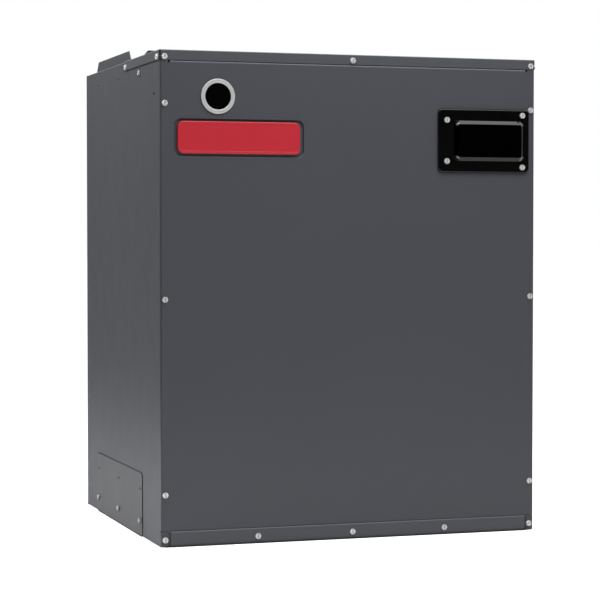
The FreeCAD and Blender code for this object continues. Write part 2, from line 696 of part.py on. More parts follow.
PORT_POCKET = PORT_SIGHT_RADIUS + PORT_LIP
PORT_STEM = PORT_POCKET + PORT_STEM_WALL
BREAKER_X = (HALF_WIDTH - BREAKER_RIGHT - BREAKER_WIDTH, HALF_WIDTH - BREAKER_RIGHT)
BREAKER_MIDDLE = CABINET_HEIGHT - BREAKER_DROP
BREAKER_Z = (BREAKER_MIDDLE - BREAKER_HEIGHT / 2, BREAKER_MIDDLE + BREAKER_HEIGHT / 2)
WINDOW_X = (BREAKER_X[0] + WINDOW_LEFT, BREAKER_X[1] - WINDOW_RIGHT)
WINDOW_Z = (BREAKER_Z[0] + WINDOW_EDGE, BREAKER_Z[1] - WINDOW_EDGE)
RECESS_X = (RECESS_LEFT - HALF_WIDTH, RECESS_LEFT - HALF_WIDTH + RECESS_WIDTH)
RECESS_MIDDLE = CABINET_HEIGHT - RECESS_DROP
RECESS_Z = (RECESS_MIDDLE - RECESS_HEIGHT / 2, RECESS_MIDDLE + RECESS_HEIGHT / 2)


def breaker_screw_spots():
    """Four screws of the breaker cover: a close pair on the left and a wide pair on the right."""
    pairs = (
        (BREAKER_X[0] + BREAKER_LEFT_SCREW, BREAKER_LEFT_SPREAD),
        (BREAKER_X[1] - BREAKER_RIGHT_SCREW, BREAKER_RIGHT_SPREAD),
    )
    return [Vector(x, 0, BREAKER_MIDDLE + end * spread / 2) for x, spread in pairs for end in (1, -1)]


def shrunk(ends, amount):
    """Span drawn in by the same amount at both ends."""
    return (ends[0] + amount, ends[1] - amount)


def front_panel():
    """Screwed-on access panel, folded back between two flat ears and pressed in for the badge."""
    folded = (PANEL_EAR - HALF_WIDTH, HALF_WIDTH - PANEL_EAR)
    walls = [
        block(shrunk((-HALF_WIDTH, HALF_WIDTH), PANEL_EDGE_SPACE), (0, SHEET), (PANEL_BOTTOM, PANEL_TOP)),
        block(folded, (0, PANEL_RETURN), (PANEL_TOP - SHEET, PANEL_TOP)),
        block(folded, (0, PANEL_RETURN), (PANEL_BOTTOM, PANEL_BOTTOM + SHEET)),
    ]
    panel = joined(walls)
    for side in (LEFT, RIGHT):
        x_ends = [side * (HALF_WIDTH - PANEL_EAR + shift) for shift in (0, PANEL_RELIEF_WIDTH)]
        panel = panel.cut(block(x_ends, (0, SHEET), (PANEL_TOP - PANEL_RELIEF_HEIGHT, PANEL_TOP)))
    front_edges = (
        (FOLD, 0, PANEL_TOP),
        (FOLD - SHEET, SHEET, PANEL_TOP - SHEET),
        (PANEL_FOOT_ROUND, 0, PANEL_BOTTOM),
    )
    for radius, depth, height in front_edges:
        spot = Vector(0, depth, height)
        panel = rounded(panel, radius, lambda middle: near(middle.distanceToPoint(spot), 0))
    spots = panel_screw_spots(LEFT) + panel_screw_spots(RIGHT) + breaker_screw_spots()
    panel = drilled(panel, spots, Y_AXIS, SCREW_HOLE)
    panel = drilled(panel, [port_spot()], Y_AXIS, PORT_STEM + FIT)
    opening_x = shrunk(WINDOW_X, WINDOW_BEVEL)
    opening_z = shrunk(WINDOW_Z, WINDOW_BEVEL)
    panel = panel.cut(block(opening_x, (0, SHEET), opening_z))
    pan_x = shrunk(RECESS_X, -SHEET)
    pan_z = shrunk(RECESS_Z, -SHEET)
    pan = front_plate(pan_x, (0, RECESS_DEPTH + SHEET), pan_z, RECESS_CORNER + SHEET)
    recess = front_plate(RECESS_X, (0, RECESS_DEPTH), RECESS_Z, RECESS_CORNER)
    rim_x = shrunk(RECESS_X, -FIT)
    rim_z = shrunk(RECESS_Z, -FIT)

    def on_rim(middle):
        across = rim_x[0] < middle.x < rim_x[1] and rim_z[0] < middle.z < rim_z[1]
        return across and near(middle.y, 0)

    return rounded(joined([panel, pan]).cut(recess), RECESS_ROUND, on_rim)


def sight_port_bezel():
    """Turned ring with a stem through the panel, a lip in front of the glass and a fine groove."""
    middle = port_spot()
    ring_start = middle + FRONTWARD * PORT_RING_RISE
    ring = tube(ring_start, Y_AXIS, PORT_SIGHT_RADIUS, PORT_RING_RADIUS, PORT_RING_RISE)
    edges = [edge for edge in ring.Edges if near(edge.BoundBox.YMax, -PORT_RING_RISE)]
    ring = ring.makeFillet(PORT_RING_RISE / 3, edges)
    pocket = rod(middle + FRONTWARD * (PORT_RING_RISE - PORT_LIP), Y_AXIS, PORT_POCKET, PORT_RING_RISE)
    stem = tube(middle, Y_AXIS, PORT_POCKET, PORT_STEM, SHEET + PORT_STEM_LENGTH)
    groove_radius = (PORT_SIGHT_RADIUS + PORT_RING_RADIUS) / 2
    groove_start = ring_start + FRONTWARD * PORT_GROOVE
    groove_walls = (groove_radius - PORT_GROOVE, groove_radius + PORT_GROOVE)
    groove = tube(groove_start, Y_AXIS, *groove_walls, 2 * PORT_GROOVE)
    return joined([ring.cut(pocket).cut(groove), stem])


def sight_port_glass():
    """Round glass that seats against the bezel's lip."""
    start = port_spot() + FRONTWARD * (PORT_RING_RISE - PORT_LIP)
    return rod(start, Y_AXIS, PORT_POCKET - FIT / 2, PORT_GLASS)


def badge_plate():
    """Plain moulded badge that stands on the floor of its recess."""
    y_ends = (RECESS_DEPTH - BADGE_THICKNESS, RECESS_DEPTH)
    x_ends = (RECESS_X[0] + BADGE_LEFT_GAP, RECESS_X[1] - BADGE_RIGHT_GAP)
    z_ends = (RECESS_Z[0] + BADGE_FOOT_GAP, RECESS_Z[1] - BADGE_TOP_GAP)
    return rounded_front(front_plate(x_ends, y_ends, z_ends, BADGE_CORNER), BADGE_ROUND)


def window_form(inset, rise):
    """Raised window with bevelled sides, drawn in all round by an inset."""
    foot = front_outline(shrunk(WINDOW_X, inset), shrunk(WINDOW_Z, inset), WINDOW_CORNER, -BREAKER_THICKNESS)
    crown_x = shrunk(WINDOW_X, inset + WINDOW_SIDE_BEVEL)
    crown_z = shrunk(WINDOW_Z, inset + WINDOW_BEVEL)
    crown = front_outline(crown_x, crown_z, WINDOW_CORNER - WINDOW_BEVEL, -BREAKER_THICKNESS - rise)
    return Part.makeLoft([foot, crown], True, True)


def breaker_cover():
    """Moulded cover over the breaker opening, its window raised and hollow behind."""
    plate = front_plate(BREAKER_X, (-BREAKER_THICKNESS, 0), BREAKER_Z, BREAKER_CORNER)
    plate = rounded_front(plate, BREAKER_ROUND)
    hollow = window_form(BREAKER_WALL, WINDOW_RISE - BREAKER_WALL)
    mouth_x = shrunk(WINDOW_X, BREAKER_WALL)
    mouth_z = shrunk(WINDOW_Z, BREAKER_WALL)
    mouth = front_plate(mouth_x, (-BREAKER_THICKNESS, 0), mouth_z, WINDOW_CORNER)
    window = rounded_front(window_form(0, WINDOW_RISE), WINDOW_ROUND)
    cover = joined([plate, window]).cut(joined([hollow, mouth]))
    return drilled(cover, breaker_screw_spots(), Y_AXIS, SCREW_HOLE)


def rounded_front(plate, radius):
    """Plate with the rim of its front face rounded."""
    front = min(plate.Faces, key=lambda face: face.CenterOfMass.y)
    return plate.makeFillet(radius, front.OuterWire.Edges)


# Liners, deck and control pan

def side_liners(side):
    """Foil-faced liners on one side panel, below and above the deck."""
    inward = (SHEET, SHEET + LINER)
    back_end = SIDE_BACK - SHEET - SCREW_LENGTH
    lower_y = (SIDE_FRONT + SHEET + SCREW_LENGTH, back_end)
    lower = side_block(side, inward, lower_y, (TIE_HEIGHT + LINER_FOOT_GAP, DECK_BOTTOM - SUPPORT_LEG))
    upper = side_block(side, inward, (WALL_Y + SHEET, back_end), (DECK_TOP, LEDGE_BOTTOM))
    return lower, upper


def back_liners():
    """Foil-faced liners on the back panel, below and above the deck."""
    half = HALF_WIDTH - REAR_RETURN - FIT
    y_ends = (SIDE_BACK - LINER, SIDE_BACK)
    lower = block((-half, half), y_ends, (TIE_HEIGHT + LINER_FOOT_GAP, DECK_BOTTOM - SUPPORT_LEG))
    upper = block((-half, half), y_ends, (DECK_TOP, LEDGE_BOTTOM))
    return lower, upper


def front_liner():
    """Liner on the inside of the front panel, over the fan's compartment."""
    half = HALF_WIDTH - FRONT_RETURN - LINER
    z_ends = (PANEL_BOTTOM + SHEET + LINER, DECK_BOTTOM - SUPPORT_LEG)
    return block((-half, half), (SHEET, SHEET + PANEL_LINER), z_ends)


def deck_support(side):
    """Angle welded inside one side panel that carries the deck."""
    y_ends = (DECK_FRONT + DECK_SHEET, DECK_REAR)
    shelf_z = (DECK_BOTTOM - SUPPORT_SHEET, DECK_BOTTOM)
    leg = side_block(side, (SHEET, SHEET + SUPPORT_SHEET), y_ends, (DECK_BOTTOM - SUPPORT_LEG, DECK_BOTTOM))
    shelf = side_block(side, (SHEET, SHEET + SUPPORT_LEG), y_ends, shelf_z)
    return drilled(joined([leg, shelf]), deck_screw_spots(side), Z_AXIS, SCREW_HOLE)


def deck_screw_spots(side):
    """Screws that hold one side of the deck to its support."""
    return [Vector(side * (HALF_WIDTH - DECK_SCREW_IN), y, DECK_TOP) for y in DECK_SCREW_ROW]


def housing_screw_spots(side):
    """Screws that hang one side of the blower housing from the deck."""
    return [Vector(side * HOUSING_SCREW_X, y, DECK_BOTTOM - HOUSING_SHEET) for y in HOUSING_SCREW_ROW]


def blower_deck():
    """Deck that carries the blower, cut out over its outlet."""
    half = HALF_WIDTH - SHEET - FIT
    plate = block((-half, half), (DECK_FRONT, DECK_REAR), (DECK_BOTTOM, DECK_TOP))
    lip_half = HALF_WIDTH - FRONT_RETURN - LINER
    lip_z = (DECK_BOTTOM - DECK_LIP, DECK_TOP)
    lip = block((-lip_half, lip_half), (DECK_FRONT, DECK_FRONT + DECK_SHEET), lip_z)
    deck = joined([plate, lip])
    outlet = block((-HALF_SCROLL, HALF_SCROLL), (CUTOFF_Y, SCROLL_REAR), (DECK_BOTTOM, DECK_TOP))
    deck = deck.cut(outlet)
    for side in (LEFT, RIGHT):
        deck = drilled(deck, deck_screw_spots(side) + housing_screw_spots(side), Z_AXIS, SCREW_HOLE)
    return drilled(deck, [Vector(HARNESS_X, HARNESS_Y, DECK_TOP)], Z_AXIS, GROMMET_HOLE_RADIUS)


def deck_grommet():
    """Rubber grommet where the motor harness passes the deck."""
    foot = Vector(HARNESS_X, HARNESS_Y, DECK_BOTTOM - GROMMET_RISE)
    length = DECK_SHEET + 2 * GROMMET_RISE
    body = rod(foot, Z_AXIS, GROMMET_HOLE_RADIUS, length)
    lip = rod(foot, Z_AXIS, GROMMET_HOLE_RADIUS + GROMMET_LIP, GROMMET_RISE)
    upper_lip = lip.copy()
    upper_lip.translate(Z_AXIS * (GROMMET_RISE + DECK_SHEET))
    return joined([body, lip, upper_lip]).cut(rod(foot, Z_AXIS, HARNESS_RADIUS + FIT, length))


def heater_screw_spots():
    """Corner screws of the plate over the heater opening."""
    reach = HEATER_LAP - HEATER_SCREW_EDGE
    x_pair = (HEATER_LOW - reach, HEATER_HIGH + reach)
    z_pair = (HEATER_BOTTOM - reach, HEATER_TOP + reach)
    return [Vector(x, WALL_Y - SHEET, z) for x in x_pair for z in z_pair]


def control_pan():
    """Wall between the control compartment and the plenum, with a wing along each side panel."""
    wide = HALF_WIDTH - SHEET
    narrow = HALF_WIDTH - COLLAR_INSET - FIT
    wall_y = (WALL_Y, WALL_Y + SHEET)
    walls = [
        block((-wide, wide), wall_y, (DECK_TOP, LEDGE_BOTTOM)),
        block((-narrow, narrow), wall_y, (DECK_TOP, SIDE_TOP)),
        block((-narrow, narrow), (WALL_Y - PAN_FLANGE, WALL_Y), (LEDGE_BOTTOM, SIDE_TOP)),
        block((-narrow, narrow), (WALL_Y - PAN_FLANGE, WALL_Y), (DECK_TOP, DECK_TOP + SHEET)),
    ]
    for side in (LEFT, RIGHT):
        wing_y = (WING_FRONT, WALL_Y + SHEET)
        walls.append(side_block(side, (SHEET, 2 * SHEET), wing_y, (DECK_TOP, LEDGE_BOTTOM)))
    pan = joined(walls)
    pan = pan.cut(block((HEATER_LOW, HEATER_HIGH), wall_y, (HEATER_BOTTOM, HEATER_TOP)))
    pan = drilled(pan, heater_screw_spots(), Y_AXIS, SCREW_HOLE)
    pan = drilled(pan, standoff_spots(), Y_AXIS, STANDOFF_PIN + STANDOFF_PLAY)
    for side in (LEFT, RIGHT):
        spots = side_spots(side, HOLE_ROW[:1], UPPER_ROW_Z) + side_spots(side, LEG_SCREW_ROW[1:], TOP_SCREW_Z)
        pan = drilled(pan, spots, X_AXIS, SCREW_HOLE)
    return pan


def heater_blank_plate():
    """Plate that closes the heater opening when no heater is fitted."""
    x_ends = (HEATER_LOW - HEATER_LAP, HEATER_HIGH + HEATER_LAP)
    z_ends = (HEATER_BOTTOM - HEATER_LAP, HEATER_TOP + HEATER_LAP)
    plate = block(x_ends, (WALL_Y - SHEET, WALL_Y), z_ends)
    return drilled(plate, heater_screw_spots(), Y_AXIS, SCREW_HOLE)


# Control board, transformer and wire entry

def standoff_spots():
    """Corner posts of the control board, on the pan's wall."""
    x_pair = shrunk((BOARD_LOW, BOARD_HIGH), BOARD_HOLE_EDGE)
    z_pair = shrunk((BOARD_BOTTOM, BOARD_TOP), BOARD_HOLE_EDGE)
    return [Vector(x, WALL_Y, z) for x in x_pair for z in z_pair]


def control_board():
    """Printed circuit board on its four posts."""
    board = block((BOARD_LOW, BOARD_HIGH), (BOARD_FACE, BOARD_BACK), (BOARD_BOTTOM, BOARD_TOP))
    holes = [spot - Y_AXIS * BOARD_STANDOFF for spot in standoff_spots()]
    return drilled(board, holes, Y_AXIS, STANDOFF_PIN + STANDOFF_PLAY)


def standoff(spot):
    """Moulded post that snaps into the wall and holds the board under its cap."""
    post = rod(spot, FRONTWARD, STANDOFF_RADIUS, BOARD_STANDOFF)
    pin = rod(spot + Y_AXIS * SHEET, FRONTWARD, STANDOFF_PIN, SHEET + BOARD_STANDOFF + BOARD_THICKNESS)
    cap_start = spot + FRONTWARD * (BOARD_STANDOFF + BOARD_THICKNESS)
    return joined([post, pin, rod(cap_start, FRONTWARD, STANDOFF_RADIUS, STANDOFF_CAP)])


def on_board(x_middle, z_low, width, height, depth):
    """Block that stands on the face of the control board."""
    x_ends = (x_middle - width / 2, x_middle + width / 2)
    return block(x_ends, (BOARD_FACE - depth, BOARD_FACE), (z_low, z_low + height))


def board_relays():
    """Row of sealed relays across the board's middle."""
    middle = (BOARD_LOW + BOARD_HIGH) / 2
    base = BOARD_BOTTOM + (BOARD_HEIGHT - RELAY_HEIGHT) / 2
    size = (RELAY_WIDTH, RELAY_HEIGHT, RELAY_DEPTH)
    return [on_board(middle + RELAY_PITCH * step, base, *size) for step in (-1, 0, 1)]


def board_connectors():
    """Terminal strip along the board's top and the motor plug's header at its foot."""
    middle = (BOARD_LOW + BOARD_HIGH) / 2
    strip = on_board(middle, BOARD_TOP - 2 * STRIP_HEIGHT, STRIP_WIDTH, STRIP_HEIGHT, STRIP_DEPTH)
    pitch = STRIP_WIDTH / STRIP_POLES
    floor = BOARD_TOP - 2 * STRIP_HEIGHT + STRIP_HEIGHT / 4
    for pole in range(STRIP_POLES):
        x = middle - STRIP_WIDTH / 2 + pitch * (pole + 0.5)
        pocket = on_board(x, floor, STRIP_NOTCH, STRIP_HEIGHT, STRIP_DEPTH)
        pocket.translate(FRONTWARD * STRIP_DEPTH / 2)
        strip = strip.cut(pocket)
    header = on_board(HARNESS_X, BOARD_BOTTOM + PLUG_HEIGHT / 2, PLUG_WIDTH, PLUG_HEIGHT, PLUG_DEPTH)
    return strip, header


TRANSFORMER_Z = PAN_MIDDLE - TRANSFORMER_DROP
CORE_BACK = WALL_Y - FRAME_SHEET - COIL_BULGE
CORE_FRONT = CORE_BACK - CORE_STACK
WINDOW_HALF = CORE_HEIGHT / 2 - CORE_LEG


def transformer_core():
    """Laminated core with two winding windows, held by a folded steel frame on the wall."""
    half = CORE_WIDTH / 2
    x_ends = (BAY_X - half, BAY_X + half)
    z_ends = (TRANSFORMER_Z - CORE_HEIGHT / 2, TRANSFORMER_Z + CORE_HEIGHT / 2)
    core = block(x_ends, (CORE_FRONT, CORE_BACK), z_ends)
    for side in (LEFT, RIGHT):
        window_x = (BAY_X + side * CORE_LEG, BAY_X + side * (CORE_LEG + CORE_GAP))
        window_z = (TRANSFORMER_Z - WINDOW_HALF, TRANSFORMER_Z + WINDOW_HALF)
        core = core.cut(block(window_x, (CORE_FRONT, CORE_BACK), window_z))
    frame = [core]
    for z, outward in ((z_ends[0], -1), (z_ends[1], 1)):
        frame.append(block(x_ends, (CORE_FRONT, WALL_Y), (z, z + outward * FRAME_SHEET)))
        frame.append(block(x_ends, (WALL_Y - FRAME_SHEET, WALL_Y), (z, z + outward * CORE_LEG)))
    return joined(frame)


def transformer_coil():
    """Winding round the core's middle leg."""
    half = CORE_LEG + CORE_GAP - COIL_PLAY
    hole = CORE_LEG + COIL_PLAY
    z_ends = (TRANSFORMER_Z - WINDOW_HALF + COIL_PLAY, TRANSFORMER_Z + WINDOW_HALF - COIL_PLAY)
    winding = block((BAY_X - half, BAY_X + half), (CORE_FRONT - COIL_BULGE, CORE_BACK + COIL_BULGE), z_ends)
    leg = block((BAY_X - hole, BAY_X + hole), (CORE_FRONT - COIL_PLAY, CORE_BACK + COIL_PLAY), z_ends)
    return winding.cut(leg)


def power_terminal_block():
    """Moulded block for the supply wires, with a rib between its poles."""
    z_low = PAN_MIDDLE + BLOCK_LIFT - BLOCK_HEIGHT / 2
    z_ends = (z_low, z_low + BLOCK_HEIGHT)
    x_low = BAY_X - BLOCK_WIDTH / 2
    pieces = [block((x_low, x_low + BLOCK_WIDTH), (WALL_Y - BLOCK_STEP, WALL_Y), z_ends)]
    pitch = (BLOCK_WIDTH - BLOCK_RIB) / BLOCK_POLES
    for rib in range(BLOCK_POLES + 1):
        x = x_low + pitch * rib
        pieces.append(block((x, x + BLOCK_RIB), (WALL_Y - BLOCK_DEPTH, WALL_Y), z_ends))
    return joined(pieces)


def entry_spot():
    """Middle of the wire entry on the right side panel."""
    return Vector(HALF_WIDTH, ENTRY_DEPTH, CABINET_HEIGHT - ENTRY_DROP)


def power_entry_bushing():
    """Moulded bushing that lines the wire entry, snapped in behind the sheet."""
    outside = entry_spot() + X_AXIS * ENTRY_LIP_RISE
    inside = entry_spot() - X_AXIS * SHEET
    inward = X_AXIS * -1
    hole = ENTRY_BORE + ENTRY_WALL
    length = ENTRY_LIP_RISE + SHEET + ENTRY_TAIL
    lip = rod(outside, inward, hole + ENTRY_LIP, ENTRY_LIP_RISE)
    body = rod(outside, inward, hole, length)
    snap = rod(inside, inward, hole + ENTRY_LIP / 4, ENTRY_TAIL / 3)
    return joined([lip, body, snap]).cut(rod(outside, inward, ENTRY_BORE, length))


# Blower housing

def scroll_curve(start, extra):
    """Spiral in the plane of the fan, from a start angle to the rear, set outwards by an extra."""
    steps = 24
    points = []
    for step in range(steps + 1):
        angle = start + (360 - start) * step / steps
        radius = scroll_radius(angle) + extra
        turn = math.radians(angle)
        points.append(Vector(0, AXIS_Y + radius * math.cos(turn), AXIS_Z + radius * math.sin(turn)))
    curve = Part.BSplineCurve()
    curve.interpolate(points)
    return curve.toShape(), points[0], points[-1]


def scroll_wrap():
    """Scroll sheet from the cutoff round to the rear wall, with both outlet walls up to the deck."""
    inner, inner_start, inner_end = scroll_curve(CUTOFF_ANGLE, 0)
    outer, outer_start, outer_end = scroll_curve(CUTOFF_ANGLE, HOUSING_SHEET)
    ends = [Part.makeLine(inner_start, outer_start), Part.makeLine(inner_end, outer_end)]
    section = Part.Face(Part.Wire(Part.__sortEdges__([inner, outer] + ends)))
    spiral = section.extrude(X_AXIS * SCROLL_WIDTH)
    spiral.translate(X_AXIS * -HALF_SCROLL)
    x_ends = (-HALF_SCROLL, HALF_SCROLL)
    rear = block(x_ends, (SCROLL_REAR, SCROLL_REAR + HOUSING_SHEET), (AXIS_Z, DECK_BOTTOM))
    cutoff = block(x_ends, (CUTOFF_Y - HOUSING_SHEET, CUTOFF_Y), (CUTOFF_Z, DECK_BOTTOM))
    return joined([spiral, rear, cutoff])


def housing_plate(side):
    """Side plate of the blower housing, with a rolled inlet and a flange under the deck."""
    start = CUTOFF_ANGLE + math.degrees(PLATE_MARGIN / SCROLL_START)
    spiral, first, last = scroll_curve(start, HOUSING_SHEET + PLATE_MARGIN)
    over_last = Vector(0, last.y, DECK_BOTTOM)
    over_first = Vector(0, first.y, DECK_BOTTOM)
    corners = [last, over_last, over_first, first]
    lines = [Part.makeLine(begin, finish) for begin, finish in zip(corners, corners[1:])]
    outline = Part.Face(Part.Wire([spiral] + lines))
    plate = outline.extrude(X_AXIS * side * HOUSING_SHEET)
    plate.translate(X_AXIS * side * HALF_SCROLL)
    centre = Vector(side * HALF_SCROLL, AXIS_Y, AXIS_Z)
    mouth = INLET_RADIUS + HOUSING_SHEET + INLET_LIP
    plate = plate.cut(rod(centre, X_AXIS * side, mouth, HOUSING_SHEET))
    flange_x = (side * PLATE_FACE, side * (PLATE_FACE + PLATE_FLANGE))
    flange_z = (DECK_BOTTOM - HOUSING_SHEET, DECK_BOTTOM)
    flange = block(flange_x, (FLANGE_FRONT, SCROLL_REAR), flange_z)
    plate = joined([plate, inlet_lip(side, mouth), flange])
    plate = drilled(plate, housing_screw_spots(side), Z_AXIS, SCREW_HOLE)
    if side == LEFT:
        plate = drilled(plate, arm_spots(PLATE_FACE), X_AXIS, BOLT_RADIUS + BOLT_PLAY)
    return plate


def inlet_lip(side, mouth):
    """Quarter-round lip that leads air from the plate's face into the wheel."""
    def at(inset, radius):
        return Vector(side * (HALF_SCROLL + inset), AXIS_Y, AXIS_Z + radius)

    def quarter(radius):
        diagonal = radius * math.sqrt(0.5)
        return (
            at(radius - INLET_LIP, mouth),
            at(diagonal - INLET_LIP, mouth - diagonal),
            at(-INLET_LIP, mouth - radius),
        )

    near_side = quarter(INLET_LIP)
    far_side = quarter(INLET_LIP + HOUSING_SHEET)
    edges = [
        Part.Arc(*near_side).toShape(),
        Part.makeLine(near_side[2], far_side[2]),
        Part.Arc(*far_side).toShape(),
        Part.makeLine(far_side[0], near_side[0]),
    ]
    section = Part.Face(Part.Wire(Part.__sortEdges__(edges)))
    return section.revolve(Vector(0, AXIS_Y, AXIS_Z), X_AXIS, 360)


# Wheel

def axis_point(x):
    """Point on the fan's axis."""
    return Vector(x, AXIS_Y, AXIS_Z)


def round_axis(shape, angle):
    """Copy of a shape turned about the fan's axis."""
    copy = shape.copy()
    copy.rotate(axis_point(0), X_AXIS, angle)
    return copy


def wheel_blades():
    """Forward-curved blades, hollow towards the way the wheel turns."""
    def polar(radius, degrees):
        turn = math.radians(degrees)
        return axis_point(-HALF_BLADE) + Vector(0, radius * math.cos(turn), radius * math.sin(turn))

    half_way = (BLADE_INNER + WHEEL_RADIUS) / 2
    lag = BLADE_SWEEP / 2 - math.degrees(BLADE_BULGE / half_way)
    camber = (polar(BLADE_INNER, 0), polar(half_way, lag), polar(WHEEL_RADIUS, BLADE_SWEEP))
    circle = Part.Arc(*camber).toShape().Curve

    def offset(amount):
        scale = (circle.Radius + amount) / circle.Radius
        return [circle.Center + (point - circle.Center) * scale for point in camber]

    hollow = offset(-BLADE_SHEET / 2)
    crown = offset(BLADE_SHEET / 2)
    edges = [
        Part.Arc(*hollow).toShape(),
        Part.makeLine(hollow[2], crown[2]),
        Part.Arc(*crown).toShape(),
        Part.makeLine(crown[0], hollow[0]),
    ]
    blade = Part.Face(Part.Wire(Part.__sortEdges__(edges))).extrude(X_AXIS * 2 * HALF_BLADE)
    return [round_axis(blade, 360 * step / BLADE_COUNT) for step in range(BLADE_COUNT)]


def wheel_end_rings():
    """Rim rings that the blade ends are crimped into."""
    inner = BLADE_INNER - RING_LIP
    outer = WHEEL_RADIUS + RING_LIP
    rings = []
    for side in (LEFT, RIGHT):
        rings.append(tube(axis_point(side * HALF_BLADE), X_AXIS * side, inner, outer, RING_THICKNESS))
    return rings


def wheel_disc():
    """Middle disc that carries the blades."""
    hole = HUB_RADIUS + SHAFT_PRESS_GAP
    return tube(axis_point(-WHEEL_DISC / 2), X_AXIS, hole, BLADE_INNER - FIT, WHEEL_DISC)


def wheel_hub():
    """Flanged hub in the disc, bored for the shaft and tapped for the set screw."""
    hub = rod(axis_point(-HUB_LENGTH / 2), X_AXIS, HUB_RADIUS, HUB_LENGTH)
    flange = rod(axis_point(-WHEEL_DISC / 2 - HUB_FLANGE), X_AXIS, HUB_FLANGE_RADIUS, HUB_FLANGE)
    bore = rod(axis_point(-HUB_LENGTH / 2), X_AXIS, SHAFT_RADIUS + SHAFT_PRESS_GAP, HUB_LENGTH)
    tapped = rod(axis_point(HUB_LENGTH / 4), Z_AXIS, SET_SCREW_RADIUS + SHAFT_PRESS_GAP, HUB_RADIUS)
    return joined([hub, flange]).cut(bore).cut(tapped)


def wheel_set_screw():
    """Square-headed set screw that locks the hub to the shaft."""
    start = axis_point(HUB_LENGTH / 4) + Z_AXIS * (SHAFT_RADIUS + SHAFT_PRESS_GAP)
    shank = rod(start, Z_AXIS, SET_SCREW_RADIUS, HUB_RADIUS - SHAFT_RADIUS)
    half = SET_SCREW_RADIUS
    top = AXIS_Z + HUB_RADIUS
    x = HUB_LENGTH / 4
    head = block((x - half, x + half), (AXIS_Y - half, AXIS_Y + half), (top, top + SET_SCREW_HEAD))
    return joined([shank, head])


# Motor

def motor_shaft():
    """Shaft from the rear bearing through the rotor to the hub."""
    start = -SHELL_END
    return rod(axis_point(start), X_AXIS, SHAFT_RADIUS, HUB_LENGTH / 2 + SHAFT_END_LENGTH - start)


STATOR_START = SHELL_START + STATOR_END_SPACE
STATOR_END = SHELL_END - STATOR_END_SPACE


def motor_rotor():
    """Magnet rotor on the shaft."""
    inner = SHAFT_RADIUS + SHAFT_PRESS_GAP
    return tube(axis_point(-STATOR_END), X_AXIS, inner, STATOR_BORE - AIR_GAP, STATOR_END - STATOR_START)


def motor_stator():
    """Wound stator inside the shell."""
    outer = MOTOR_RADIUS - MOTOR_WALL - SHAFT_PRESS_GAP
    return tube(axis_point(-STATOR_END), X_AXIS, STATOR_BORE, outer, STATOR_END - STATOR_START)


def motor_shell():
    """Rolled steel shell of the motor."""
    inner = MOTOR_RADIUS - MOTOR_WALL
    return tube(axis_point(-SHELL_END), X_AXIS, inner, MOTOR_RADIUS, SHELL_END - SHELL_START)


def bearing_boss(x, direction):
    """Boss that holds a bearing inside the shell."""
    inner = BEARING_RADIUS + SHAFT_PRESS_GAP
    return tube(axis_point(x), direction, inner, inner + BOSS_WALL, BEARING_WIDTH)


def motor_end_bell():
    """Drive-end bell with its bearing boss."""
    disc = rod(axis_point(-SHELL_START), X_AXIS, MOTOR_RADIUS, END_BELL)
    outer = [edge for edge in disc.Edges if near(edge.BoundBox.XMin, -MOTOR_FACE)]
    disc = disc.makeFillet(END_BELL / 2, outer)
    disc = disc.cut(rod(axis_point(-SHELL_START), X_AXIS, SHAFT_RADIUS + AIR_GAP, END_BELL))
    return joined([disc, bearing_boss(-SHELL_START, X_AXIS * -1)])


def motor_control_module():
    """Electronic control module on the motor's rear, with its plug socket on top."""
    can = rod(axis_point(-MODULE_END), X_AXIS, MOTOR_RADIUS, MODULE_LENGTH)
    outer = [edge for edge in can.Edges if near(edge.BoundBox.XMax, -MODULE_END)]
    can = can.makeFillet(END_BELL / 2, outer)
    half = SOCKET_WIDTH / 2
    socket_x = (HARNESS_X - half, HARNESS_X + half)
    socket = block(socket_x, (HARNESS_Y - half, HARNESS_Y + half), (AXIS_Z, SOCKET_TOP))
    inside = rod(axis_point(-MODULE_END), X_AXIS, MOTOR_RADIUS / 2, MODULE_LENGTH)
    return joined([can, socket.cut(inside), bearing_boss(-SHELL_END, X_AXIS)])


def motor_bearings():
    """Ball bearings at both ends of the shaft."""
    inner = SHAFT_RADIUS + SHAFT_RUNNING_GAP
    drive = tube(axis_point(-SHELL_START - BEARING_WIDTH), X_AXIS, inner, BEARING_RADIUS, BEARING_WIDTH)
    rear = tube(axis_point(-SHELL_END), X_AXIS, inner, BEARING_RADIUS, BEARING_WIDTH)
    return drive, rear


def arm_spots(distance):
    """Bolt places of the mount's arms, at a distance from the fan's middle."""
    turns = [math.radians(angle) for angle in ARM_ANGLES]
    radial = [Vector(0, math.cos(turn), math.sin(turn)) for turn in turns]
    return [axis_point(-distance) + spoke * ARM_BOLT_RADIUS for spoke in radial]


def motor_band():
    """Split band round the motor with a pair of clamping ears."""
    band_x = (-BAND_START - BAND_WIDTH, -BAND_START)
    band = tube(axis_point(band_x[0]), X_AXIS, MOTOR_RADIUS + BAND_PLAY, BAND_OUTER, BAND_WIDTH)
    split_y = (AXIS_Y - BAND_SPLIT / 2, AXIS_Y + BAND_SPLIT / 2)
    split = block(band_x, split_y, (AXIS_Z, AXIS_Z + BAND_OUTER + EAR_HEIGHT))
    ear_y = (split_y[0] - BAND_SHEET, split_y[1] + BAND_SHEET)
    ears = block(band_x, ear_y, (AXIS_Z + MOTOR_RADIUS + BAND_SHEET, AXIS_Z + BAND_OUTER + EAR_HEIGHT))
    clamp = joined([band, round_axis(ears, EAR_ANGLE)]).cut(round_axis(split, EAR_ANGLE))
    bolt_start = ear_bolt_start()
    hole = rod(bolt_start, ear_bolt_direction(), BOLT_RADIUS + BOLT_PLAY, ear_bolt_grip())
    return clamp.cut(hole)


